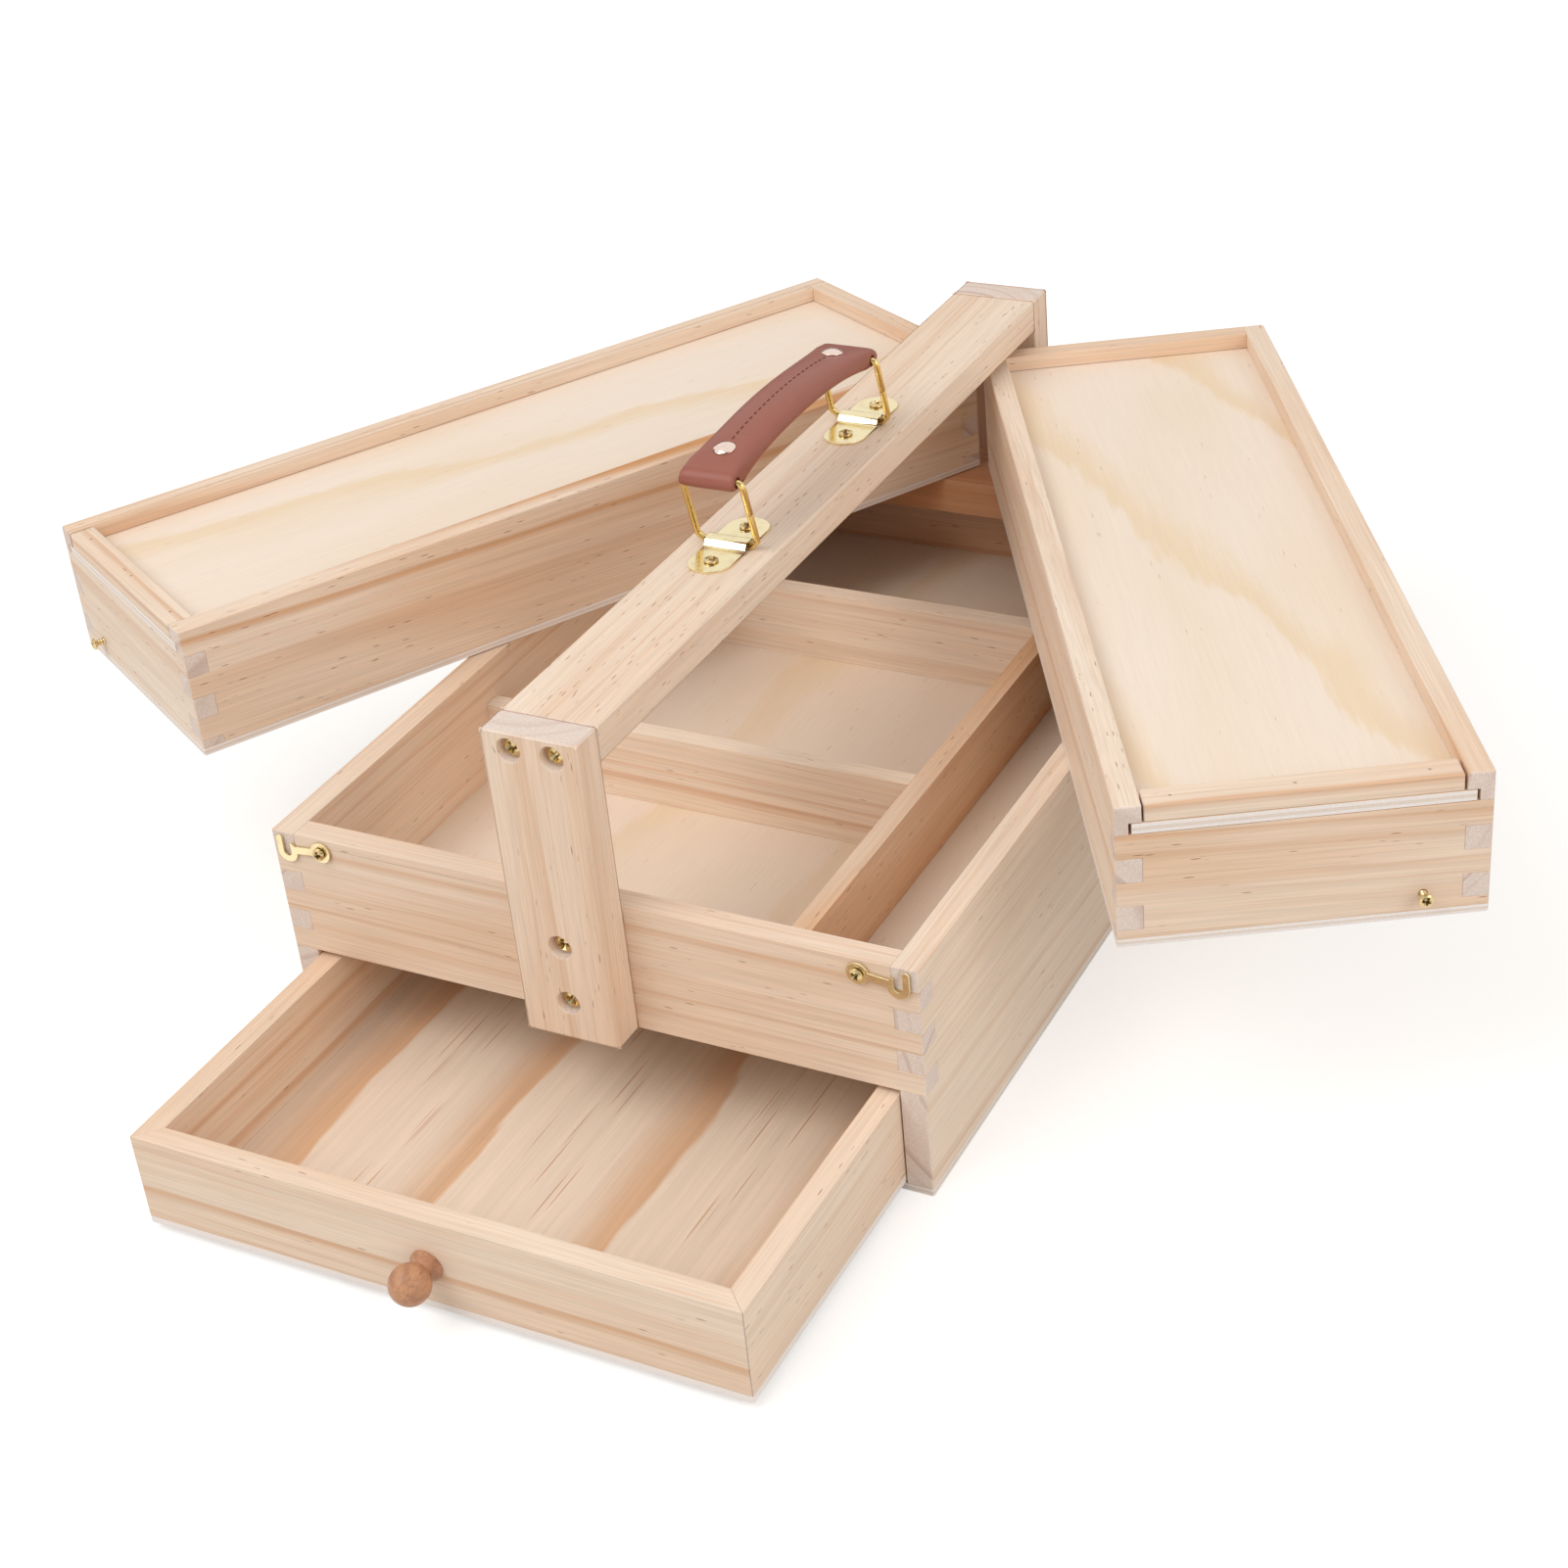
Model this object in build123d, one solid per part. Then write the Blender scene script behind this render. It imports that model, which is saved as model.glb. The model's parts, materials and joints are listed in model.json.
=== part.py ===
from build123d import *
import os
from math import asin, cos, degrees, radians, sin, sqrt, tan

# Artist tool box in pine: a finger-jointed base with trays and a drawer, two boxes with sliding lids
# that swing out on top of it, and a rail between two posts that carries a leather handle.
# Millimetres, +Z up, the front towards -Y. The origin is the centre of the base's underside.
# At rest the drawer is part way out, the boxes are swung out, and the handle leans to the front.

# Base
base_width = 263.0
base_depth = 380.0
base_height = 96.0  # up to the rim, with the bottom panel
base_wall = 10.0
panel_thickness = 3.0  # the plywood under the base, the boxes and the drawer, and the tray floor
front_wall_height = 52.0  # the drawer opens below it
base_groove = 4.0  # how deep the tray floor stands in the walls
front_fingers = 6
rear_fingers = 11
edge_ease = 0.5

# Trays
divider_thickness = 8.0
divider_height = 32.0
long_divider_x = 67.4  # its left face
front_divider_y = -60.1  # the front face of each cross divider
rear_divider_y = 67.4
cleat_depth = 26.0
cleat_height = 16.0

# Swing boxes
box_height = 54.5
box_wall = 9.0
middle_gap = 17.0  # between the two closed boxes
post_gap = 2.0  # from each end of a closed box to the post
box_lift = 0.5  # the washer that a box turns on
corner_clearance = 1.5  # from a box's rear inner corner to the middle, where it passes closest
open_angle = 29.7
box_fingers = 4
short_finger = 3.4

# Sliding lids
rim_height = 6.5  # the wall above the lid
lid_thickness = 4.0
lid_gap = 0.2
lid_side_gap = 1.0
lid_groove = 4.3
batten_depth = 10.5
batten_gap = 0.8
nail_diameter = 1.2
nail_set = 0.4  # how far a nail lies under the batten's top
nail_cover = 0.5  # the lid's thickness left under a nail
nail_places = (0.09, 0.48, 0.90)  # along the batten, from its inner end

# Pivot of a swing box
bolt_diameter = 5.0
bolt_head = 10.0
bolt_head_height = 2.6
bolt_tail = 1.0  # how far the bolt stands out of its nut
pivot_fit = 0.10
washer_diameter = 13.0
washer_thickness = 0.8
nut_across_flats = 8.0
nut_height = 4.0

# Drawer
drawer_wall = 9.0
drawer_side_gap = 0.6
drawer_slide_gap = 0.3
drawer_top_gap = 2.2
drawer_back_gap = 2.0
drawer_out = 115.6
knob_radius = 7.4
knob_flange = 6.2
knob_neck = 3.7
knob_length = 17.9
knob_flange_edge = 1.4
knob_cove = 0.7  # how far the cove between flange and neck stands out half way up

# Rail and posts
rail_width = 38.0
rail_thickness = 14.0
rail_gap = 4.0  # from a closed box to the rail
post_thickness = 14.0
counterbore_diameter = 9.0
counterbore_depth = 4.0
rail_screw_spacing = 17.0
rail_screw_drop = 6.8
wall_screw_spacing = 24.0
wall_screw_rise = 1.5  # from the middle of the front wall up to the middle of the pair

# Handle
plate_length = 46.0
plate_width = 17.5
plate_thickness = 1.0
plate_screw_spacing = 28.6
handle_span = 114.0  # between the two saddles
handle_middle_y = -2.0
handle_lean = 15.0
wire_diameter = 2.2
wire_gap = 0.4
saddle_metal = 1.0
wire_lift = 0.2  # from the rail up to the wire
ring_length = 31.0  # from bar to bar
ring_width = 25.4
ring_foot = 3.2  # how far each leg turns in at its foot, at 45 degrees
ring_top_bend = 1.5
grip_width = 22.4
grip_end_radius = 3.3
grip_top_rise = 10.7  # from the bars to the grip's top in the middle
grip_bottom_rise = 0.7
grip_edge = 2.2
grip_edge_limit = 0.9  # the largest share of the end's radius that the edge may take
grip_bore_gap = 0.3
rivet_inset = 12.0
rivet_radius = 4.3
rivet_height = 1.6
rivet_shank = 1.3
rivet_disc = 3.2  # the radius of the flat disc under the grip
rivet_disc_thickness = 0.8
rivet_gap = 0.15

# Latches
hook_inset = 22.0  # from the base's side to the hook's pivot
hook_drop = 5.0  # from the rim down to the hook's pivot
hook_eye = 4.2
hook_thickness = 1.0
hook_lift = 0.4
slot_reach = 15.0
slot_drop = 2.35
slot_radius = 1.7
slot_play = 0.1  # between the slot's bottom and its place round the latched catch
hook_rim = 2.6
prong_top = 4.3
arm_width = 3.0
arm_fall = 1.4  # from the pivot to where the arm meets the slot
catch_reach = 5.6  # from the box's front to the top of the catch screw's head
catch_cover = 2.0  # the wood left behind its point

# Screws
screw_fit = 0.05
screw_hole_spare = 1.0  # the hole goes this much deeper than the screw
head_taper = 30.0  # degrees from a head's axis to its side
few_sides = 8  # fixed screws, nails, and holes that nothing turns in, are drawn with this many sides
head_sides = 12  # the heads of fixed screws, and washers
screw_shank = 1.8
screw_head = 3.6
screw_head_height = 2.2
rail_screw_length = 28.0
wall_screw_length = 16.5
small_shank = 1.4
small_head = 2.6
small_head_height = 1.7
plate_screw_length = 9.0
hook_screw_length = 10.0
knob_screw_depth = 9.0
overrun = 5.0  # how far a cutting body runs past what it cuts

# Places that follow from the sizes above
half_width = base_width / 2
half_depth = base_depth / 2
front_wall_bottom = base_height - front_wall_height
floor_top = front_wall_bottom + panel_thickness
inner_half_width = half_width - base_wall
inner_half_depth = half_depth - base_wall
box_inner = middle_gap / 2  # the right box's faces in its closed place
box_outer = half_width
box_front = -half_depth + post_gap
box_rear = half_depth - post_gap
box_bottom = base_height + box_lift
box_floor = box_bottom + panel_thickness
box_top = box_bottom + box_height
groove_top = box_top - rim_height
groove_bottom = groove_top - lid_thickness - 2 * lid_gap
rail_bottom = box_top + rail_gap
rail_top = rail_bottom + rail_thickness
pivot_y = inner_half_depth - cleat_depth / 2
corner_lead = box_inner - corner_clearance
pivot_inset = ((box_rear - pivot_y) ** 2 - corner_lead**2) / (2 * corner_lead)
pivot_x = box_inner + pivot_inset
wire_radius = wire_diameter / 2
wire_z = rail_top + wire_lift + wire_radius
hook_x = half_width - hook_inset
hook_z = base_height - hook_drop
catch_z = hook_z + sqrt(slot_reach**2 + (slot_drop - slot_play) ** 2)
drawer_front = -half_depth - drawer_out
drawer_length = base_depth - base_wall - drawer_back_gap
drawer_rear = drawer_front + drawer_length
drawer_half = inner_half_width - drawer_side_gap
drawer_bottom_z = panel_thickness + drawer_slide_gap
drawer_floor = drawer_bottom_z + panel_thickness
drawer_top = front_wall_bottom - drawer_top_gap
knob_z = (drawer_bottom_z + drawer_top) / 2


def block(low, high):
    """A plain block between two corners."""
    size = [b - a for a, b in zip(low, high)]
    middle = [(a + b) / 2 for a, b in zip(low, high)]
    return Pos(*middle) * Box(*size)


def eased(solid, low, high, vertical_only=False):
    """The part of a solid inside a block whose outer edges are eased."""
    envelope = block(low, high)
    edges = envelope.edges().filter_by(Axis.Z) if vertical_only else envelope.edges()
    return solid & chamfer(edges, edge_ease)


def rod(radius, start, end):
    """A round rod from one point to another."""
    line = Vector(*end) - Vector(*start)
    plane = Plane(origin=start, z_dir=line)
    return extrude(plane * Circle(radius), line.length)


def even_sections(bottom, top, count):
    """Equal steps of a finger joint, from the top down."""
    pitch = (top - bottom) / count
    return [(top - (i + 1) * pitch, top - i * pitch) for i in range(count)]


def box_sections():
    """The steps of a swing box's finger joints, from the bottom up: a short one, four equal, the rim."""
    low = box_floor
    pitch = (groove_bottom - low - short_finger) / box_fingers
    heights = [low] + [low + short_finger + i * pitch for i in range(box_fingers + 1)] + [box_top]
    return list(zip(heights, heights[1:]))


def notch(solid, x_range, y_range, sections):
    """Cuts the steps that the other wall fills at a corner."""
    for low, high in sections:
        solid -= block((x_range[0], y_range[0], low), (x_range[1], y_range[1], high))
    return solid


# Screws and rivets

def dome(rim_radius, rim, top):
    """Half the outline of a ball's cap, from its rim up to its top on the axis."""
    rise = top - rim
    ball = (rim_radius**2 + rise**2) / (2 * rise)
    half_way = asin(rim_radius / ball) / 2
    middle = (ball * sin(half_way), top - ball + ball * cos(half_way))
    return ThreePointArc((rim_radius, rim), middle, (0, top))


def turned_screw(shank_radius, head_radius, head_height, length, point):
    """A screw that another piece turns on or catches, with its head's underside at z = 0."""
    head_top = head_radius - head_height * tan(radians(head_taper))
    outline = Polyline(
        (0, head_height), (0, -length), (shank_radius, point - length), (shank_radius, 0),
        (head_radius, 0), (head_top, head_height), (0, head_height),
    )
    return revolve(Plane.XZ * make_face(outline), Axis.Z)


def fixed_screw(shank_radius, head_radius, head_height, length):
    """A screw that nothing turns on, with few sides, a blunt point and its head's underside at z = 0."""
    head = extrude(RegularPolygon(head_radius, head_sides), head_height, taper=head_taper)
    shank = extrude(RegularPolygon(shank_radius, few_sides), shank_radius - length)
    point = Pos(0, 0, shank_radius - length) * extrude(
        RegularPolygon(shank_radius, few_sides), -shank_radius, taper=head_taper
    )
    return head + shank + point


def wood_screw(length):
    return fixed_screw(screw_shank, screw_head, screw_head_height, length)


def pivot_screw(length):
    return turned_screw(small_shank, small_head, small_head_height, length, 2 * small_shank)


def few_sided_hole(radius, depth):
    return extrude(RegularPolygon(radius + screw_fit, few_sides), -depth)


def screw_hole(shank_radius, length):
    return few_sided_hole(shank_radius, length + screw_hole_spare)


def pivot_screw_hole(length):
    depth = length + screw_hole_spare
    return Pos(0, 0, -depth / 2) * Cylinder(small_shank + screw_fit, depth)


# Base

def base_envelope():
    return (-half_width, -half_depth, 0), (half_width, half_depth, base_height)


def front_corner_steps():
    return even_sections(front_wall_bottom, base_height, front_fingers)


def rear_corner_steps():
    return even_sections(panel_thickness, base_height, rear_fingers)


def tray_floor():
    return block(
        (-inner_half_width - base_groove, -half_depth + base_wall - base_groove, front_wall_bottom),
        (inner_half_width + base_groove, inner_half_depth + base_groove, floor_top),
    )


def base_front_wall():
    wall = block((-half_width, -half_depth, front_wall_bottom), (half_width, -inner_half_depth, base_height))
    for side in (-1, 1):
        corner = sorted((side * half_width, side * inner_half_width))
        wall = notch(wall, corner, (-half_depth, -inner_half_depth), front_corner_steps()[0::2])
    wall -= tray_floor()
    for place in wall_screw_places(-1):
        wall -= place * screw_hole(screw_shank, wall_screw_length)
    for place in hook_screw_places():
        wall -= place * pivot_screw_hole(hook_screw_length)
    return eased(wall, *base_envelope(), vertical_only=True)


def base_rear_wall():
    wall = block((-half_width, inner_half_depth, panel_thickness), (half_width, half_depth, base_height))
    for side in (-1, 1):
        corner = sorted((side * half_width, side * inner_half_width))
        wall = notch(wall, corner, (inner_half_depth, half_depth), rear_corner_steps()[0::2])
    wall -= tray_floor()
    for place in wall_screw_places(1):
        wall -= place * screw_hole(screw_shank, wall_screw_length)
    return eased(wall, *base_envelope(), vertical_only=True)


def base_side_wall(side):
    x = sorted((side * half_width, side * inner_half_width))
    wall = block((x[0], -half_depth, panel_thickness), (x[1], half_depth, base_height))
    wall = notch(wall, x, (-half_depth, -inner_half_depth), front_corner_steps()[1::2])
    wall = notch(wall, x, (inner_half_depth, half_depth), rear_corner_steps()[1::2])
    wall -= tray_floor()
    return eased(wall, *base_envelope(), vertical_only=True)


def base_bottom_panel():
    panel = block((-half_width, -half_depth, 0), (half_width, half_depth, panel_thickness))
    return eased(panel, *base_envelope(), vertical_only=True)


def long_divider():
    divider = block(
        (long_divider_x, -inner_half_depth, floor_top),
        (long_divider_x + divider_thickness, inner_half_depth, floor_top + divider_height),
    )
    return divider


def cross_divider(front_face):
    divider = block(
        (-inner_half_width, front_face, floor_top),
        (long_divider_x, front_face + divider_thickness, floor_top + divider_height),
    )
    return divider


def pivot_cleat():
    cleat = block(
        (-inner_half_width, inner_half_depth - cleat_depth, base_height - cleat_height),
        (inner_half_width, inner_half_depth, base_height),
    )
    for side in (-1, 1):
        middle = (side * pivot_x, pivot_y, base_height - cleat_height / 2)
        cleat -= Pos(*middle) * Cylinder(bolt_diameter / 2 + screw_fit, 2 * cleat_height)
    return cleat


# Pivots of the swing boxes

def pivot_bolt(side):
    seat = box_floor + pivot_fit + washer_thickness
    tail = base_height - cleat_height - nut_height - bolt_tail
    bolt = turned_screw(bolt_diameter / 2, bolt_head / 2, bolt_head_height, seat - tail, 0)
    return Pos(side * pivot_x, pivot_y, seat) * bolt


def pivot_washers(side):
    """The thin one lies between the cleat and the box, the other under the bolt's head."""
    hole = bolt_diameter / 2 + screw_fit
    ring = RegularPolygon(washer_diameter / 2, head_sides)
    ring -= RegularPolygon(hole, head_sides, major_radius=False)
    lower = Pos(side * pivot_x, pivot_y, base_height) * extrude(ring, box_lift)
    upper = Pos(side * pivot_x, pivot_y, box_floor + pivot_fit) * extrude(ring, washer_thickness)
    return [lower, upper]


def pivot_nut(side):
    outline = RegularPolygon(nut_across_flats / 2, 6, major_radius=False)
    outline -= RegularPolygon(bolt_diameter / 2 + screw_fit, few_sides, major_radius=False)
    low = base_height - cleat_height - nut_height
    return Pos(side * pivot_x, pivot_y, low) * extrude(outline, nut_height)


# Rail and posts. side is -1 for the front and 1 for the rear.

def facing(side):
    """Turns a screw's head to the front or to the rear."""
    return Rot(X=-side * 90)


def rail_screw_places(side):
    y = side * (half_depth + post_thickness - counterbore_depth)
    z = rail_top - rail_screw_drop
    spots = [Pos(x, y, z) for x in (-rail_screw_spacing / 2, rail_screw_spacing / 2)]
    return [spot * facing(side) for spot in spots]


def wall_screw_places(side):
    y = side * (half_depth + post_thickness - counterbore_depth)
    middle = base_height - front_wall_height / 2 + wall_screw_rise
    spots = [Pos(0, y, middle + s * wall_screw_spacing / 2) for s in (-1, 1)]
    return [spot * facing(side) for spot in spots]


def post(side):
    inner = side * half_depth
    outer = side * (half_depth + post_thickness)
    low = (-rail_width / 2, min(inner, outer), front_wall_bottom)
    high = (rail_width / 2, max(inner, outer), rail_top)
    solid = eased(block(low, high), low, high)
    for place in rail_screw_places(side) + wall_screw_places(side):
        bore = Cylinder(counterbore_diameter / 2, 2 * counterbore_depth)
        solid -= place * Pos(0, 0, counterbore_depth) * bore
        solid -= place * screw_hole(screw_shank, post_thickness)
    return solid


def post_screws(side):
    screws = [place * wood_screw(rail_screw_length) for place in rail_screw_places(side)]
    return screws + [place * wood_screw(wall_screw_length) for place in wall_screw_places(side)]


def top_rail():
    low = (-rail_width / 2, -half_depth, rail_bottom)
    high = (rail_width / 2, half_depth, rail_top)
    rail = eased(block(low, high), low, high)
    for side in (-1, 1):
        for place in rail_screw_places(side):
            rail -= place * screw_hole(screw_shank, rail_screw_length)
        for place in plate_screw_places(side):
            rail -= place * screw_hole(small_shank, plate_screw_length)
    return rail


# Handle

def saddle_y(side):
    return handle_middle_y + side * handle_span / 2


def plate_screw_places(side):
    z = rail_top + plate_thickness
    return [Pos(0, saddle_y(side) + s * plate_screw_spacing / 2, z) for s in (-1, 1)]


def handle_plate(side):
    """An obround plate whose middle is pressed up into a saddle over the ring's bar."""
    channel_radius = wire_radius + wire_gap
    bar = Pos(0, saddle_y(side), wire_z) * Rot(Y=90)
    plate = Pos(0, saddle_y(side), rail_top) * extrude(
        Rot(Z=90) * SlotOverall(plate_length, plate_width), plate_thickness
    )
    plate += bar * Cylinder(channel_radius + saddle_metal, plate_width)
    channel = bar * Cylinder(channel_radius, plate_width + overrun)
    mouth = block(
        (-plate_width, saddle_y(side) - channel_radius, rail_top - overrun),
        (plate_width, saddle_y(side) + channel_radius, wire_z),
    )
    under = block(
        (-plate_width, saddle_y(side) - plate_length, rail_top - overrun),
        (plate_width, saddle_y(side) + plate_length, rail_top),
    )
    plate = plate - channel - mouth - under
    for place in plate_screw_places(side):
        plate -= place * screw_hole(small_shank, plate_screw_length)
    return plate


def handle_plate_screws():
    one = fixed_screw(small_shank, small_head, small_head_height, plate_screw_length)
    return [place * one for side in (-1, 1) for place in plate_screw_places(side)]


def ring(side):
    """A wire ring that stands in the saddle and leans to the front: one half and its mirror image."""
    half = ring_width / 2
    corners = [
        (0, 0), (half - ring_foot, 0), (half, ring_foot), (half, ring_length), (0, ring_length),
    ]
    path = FilletPolyline(*corners, radius=[0, 0, ring_top_bend])
    start = Plane(origin=path @ 0, z_dir=path % 0)
    wire = sweep(start * Circle(wire_radius), path=path, transition=Transition.RIGHT)
    lean = Pos(0, saddle_y(side), wire_z) * Rot(X=90 + handle_lean)
    return lean * (wire + mirror(wire, about=Plane.YZ))


def bar_top(side):
    """The middle of a ring's upper bar."""
    lean = radians(handle_lean)
    return saddle_y(side) - ring_length * sin(lean), wire_z + ring_length * cos(lean)


def rounding_arc(rise, end_radius):
    """The circle through a rise in the middle of the grip that runs smoothly into its round ends.

    Gives the circle's middle height, its radius and the point where it meets the front end.
    end_radius is negative where the arc passes under the end.
    """
    half = handle_span / 2
    reach = rise - end_radius
    middle = (reach**2 - half**2) / (2 * reach)
    radius = rise - middle
    share = radius / sqrt(half**2 + middle**2)
    return middle, radius, (-half * share, middle - middle * share)


def grip_outline():
    half = handle_span / 2
    top = rounding_arc(grip_top_rise, grip_end_radius)[2]
    low = rounding_arc(grip_bottom_rise, -grip_end_radius)[2]
    upper = ThreePointArc(top, (0, grip_top_rise), (-top[0], top[1]))
    rear = ThreePointArc((-top[0], top[1]), (half + grip_end_radius, 0), (-low[0], low[1]))
    lower = ThreePointArc((-low[0], low[1]), (0, grip_bottom_rise), low)
    front = ThreePointArc(low, (-half - grip_end_radius, 0), top)
    return make_face(upper + rear + lower + front)


def leather_grip():
    """The padded grip: thin where it folds round the rings, thick and arched in the middle."""
    bar_y, bar_z = bar_top(-1)
    side_view = Plane(origin=(0, bar_y + handle_span / 2, bar_z), x_dir=(0, 1, 0), z_dir=(1, 0, 0))
    grip = extrude(side_view * grip_outline(), grip_width / 2, both=True)
    rims = [edge for edge in grip.edges() if abs(abs(edge.center().X) - grip_width / 2) < 0.01]
    grip = fillet(rims, min(grip_edge, grip_edge_limit * grip_end_radius))
    for side in (-1, 1):
        y, z = bar_top(side)
        grip -= rod(wire_radius + grip_bore_gap, (-grip_width, y, z), (grip_width, y, z))
        grip -= rivet_place(side) * Cylinder(rivet_shank + screw_fit, 8 * grip_end_radius)
    return grip


def rivet_place(side):
    """On the grip's top, square to it, a rivet's inset from the bar."""
    middle, radius, _ = rounding_arc(grip_top_rise, grip_end_radius)
    bar_y, bar_z = bar_top(-1)
    across = side * (handle_span / 2 - rivet_inset)
    height = middle + sqrt(radius**2 - across**2)
    slope = degrees(asin(across / radius))
    return Pos(0, bar_y + handle_span / 2 + across, bar_z + height) * Rot(X=-slope)


def rivet_grip():
    """How far the grip's underside lies below the rivet's seat, at the edge of its disc."""
    upper, upper_radius, _ = rounding_arc(grip_top_rise, grip_end_radius)
    lower, lower_radius, _ = rounding_arc(grip_bottom_rise, -grip_end_radius)
    across = handle_span / 2 - rivet_inset
    top = upper + sqrt(upper_radius**2 - across**2)
    edge = across + rivet_disc
    bottom = lower + sqrt(lower_radius**2 - edge**2)
    return (top - bottom) * upper_radius / sqrt(upper_radius**2 - across**2)


def grip_rivet(side):
    """A domed rivet with a flat disc under the grip."""
    top = rivet_gap + rivet_height
    low = -rivet_grip() - rivet_gap
    foot = low - rivet_disc_thickness
    outline = Polyline(
        (0, top), (0, foot), (rivet_disc, foot), (rivet_disc, low),
        (rivet_shank, low), (rivet_shank, rivet_gap), (rivet_radius, rivet_gap),
    )
    face = make_face(outline + dome(rivet_radius, rivet_gap, top))
    return rivet_place(side) * revolve(Plane.XZ * face, Axis.Z)


# Latches, drawn for the right side

def hook_face():
    return Plane(origin=(hook_x, -half_depth - hook_lift, hook_z), x_dir=(1, 0, 0), z_dir=(0, -1, 0))


def right_hook():
    """An eye, an arm that falls a little, and a slot open to the top between two prongs."""
    outer = slot_radius + hook_rim
    seat = Pos(slot_reach, -slot_drop)
    prong_x = slot_reach + slot_radius + hook_rim / 2
    prong = Pos(prong_x, (prong_top - slot_drop - hook_rim / 2) / 2) * Rectangle(
        hook_rim, prong_top + slot_drop - hook_rim / 2
    )
    prong += Pos(prong_x, prong_top - hook_rim / 2) * Circle(hook_rim / 2)
    arm_end = slot_reach - slot_radius
    half = arm_width / 2
    arm = make_face(Polyline(
        (0, half), (arm_end, half - arm_fall), (arm_end, -half - arm_fall), (0, -half), (0, half)
    ))
    slot = seat * Circle(slot_radius)
    slot += Pos(slot_reach, prong_top - slot_drop) * Rectangle(2 * slot_radius, 2 * prong_top)
    outline = Circle(hook_eye) + arm + seat * Circle(outer) + prong - slot
    outline -= Circle(small_shank + pivot_fit)
    return extrude(hook_face() * outline, hook_thickness)


def hook_screw_places():
    """The wall ends of the two hook screws' shanks, heads to the front."""
    y = -half_depth - hook_lift - hook_thickness - hook_lift
    return [Pos(side * hook_x, y, hook_z) * facing(-1) for side in (-1, 1)]


def hook_screws():
    return [place * pivot_screw(hook_screw_length) for place in hook_screw_places()]


# Right swing box in its closed place

def box_envelope():
    return (box_inner, box_front, box_bottom), (box_outer, box_rear, box_top)


def lid_space():
    """The room that the lid slides in: the grooves in the sides and the rear, open to the front."""
    return block(
        (box_inner + box_wall - lid_groove, box_front - 1, groove_bottom),
        (box_outer - box_wall + lid_groove, box_rear - box_wall + lid_groove, groove_top),
    )


def box_side_wall(inner_face):
    x = (inner_face, inner_face + box_wall)
    wall = block((x[0], box_front, box_floor), (x[1], box_rear, box_top))
    ends = box_sections()[0::2]
    wall = notch(wall, x, (box_front, box_front + box_wall), ends)
    wall = notch(wall, x, (box_rear - box_wall, box_rear), ends)
    return eased(wall - lid_space(), *box_envelope())


def box_end_wall(front_face, top):
    wall = block((box_inner, front_face, box_floor), (box_outer, front_face + box_wall, top))
    steps = [step for step in box_sections()[1::2] if step[0] < top]
    for x in (box_inner, box_outer - box_wall):
        wall = notch(wall, (x, x + box_wall), (front_face, front_face + box_wall), steps)
    return eased(wall - lid_space(), *box_envelope())


def box_front_wall():
    return box_end_wall(box_front, groove_bottom) - catch_place() * pivot_screw_hole(catch_length())


def box_rear_wall():
    return box_end_wall(box_rear - box_wall, box_top)


def box_bottom_panel():
    panel = block((box_inner, box_front, box_bottom), (box_outer, box_rear, box_floor))
    panel -= Pos(pivot_x, pivot_y, box_bottom) * Cylinder(bolt_diameter / 2 + pivot_fit, 4 * panel_thickness)
    return eased(panel, *box_envelope(), vertical_only=True)


def catch_length():
    return catch_reach - small_head_height + box_wall - catch_cover


def catch_place():
    return Pos(hook_x, box_front - catch_reach + small_head_height, catch_z) * facing(-1)


def catch_screw():
    return catch_place() * pivot_screw(catch_length())


# Right lid in its closed place

def batten_box():
    low = (box_inner + box_wall + batten_gap, box_front, groove_top - lid_gap)
    high = (box_outer - box_wall - batten_gap, box_front + batten_depth, box_top - lid_gap)
    return low, high


def lid_nail_places():
    low, high = batten_box()
    width = high[0] - low[0]
    return [Pos(low[0] + share * width, (low[1] + high[1]) / 2, high[2]) for share in nail_places]


def nail_length():
    return rim_height + lid_thickness - nail_set - nail_cover


def lid_nails():
    nail = Pos(0, 0, -nail_set) * extrude(RegularPolygon(nail_diameter / 2, few_sides), -nail_length())
    return [place * nail for place in lid_nail_places()]


def drill_for_nails(solid):
    for place in lid_nail_places():
        solid -= place * few_sided_hole(nail_diameter / 2, nail_length() + nail_set)
    return solid


def lid_panel():
    reach = lid_groove - lid_side_gap
    panel = block(
        (box_inner + box_wall - reach, box_front, groove_bottom + lid_gap),
        (box_outer - box_wall + reach, box_rear - box_wall + reach, groove_top - lid_gap),
    )
    return drill_for_nails(panel)


def lid_batten():
    low, high = batten_box()
    return drill_for_nails(eased(block(low, high), low, high))


# Drawer, drawn where it stands open

def drawer_envelope():
    return (-drawer_half, drawer_front, drawer_bottom_z), (drawer_half, drawer_rear, drawer_top)


def mitred_board(corners):
    """One board of the drawer's frame, its ends cut at 45 degrees."""
    face = make_face(Polyline(*corners, corners[0]))
    board = Pos(0, 0, drawer_floor) * extrude(face, drawer_top - drawer_floor)
    return eased(board, *drawer_envelope(), vertical_only=True)


def drawer_end_board(outer, inner):
    slim = drawer_half - drawer_wall
    return mitred_board([(-drawer_half, outer), (drawer_half, outer), (slim, inner), (-slim, inner)])


def drawer_side_board(side):
    outer = side * drawer_half
    inner = side * (drawer_half - drawer_wall)
    return mitred_board([
        (outer, drawer_front), (outer, drawer_rear), (inner, drawer_rear - drawer_wall),
        (inner, drawer_front + drawer_wall),
    ])


def knob_screw_place():
    return Pos(0, drawer_front + drawer_wall, knob_z) * facing(1)


def drawer_front_board():
    board = drawer_end_board(drawer_front, drawer_front + drawer_wall)
    return board - knob_screw_place() * screw_hole(screw_shank, drawer_wall + knob_screw_depth)


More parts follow.
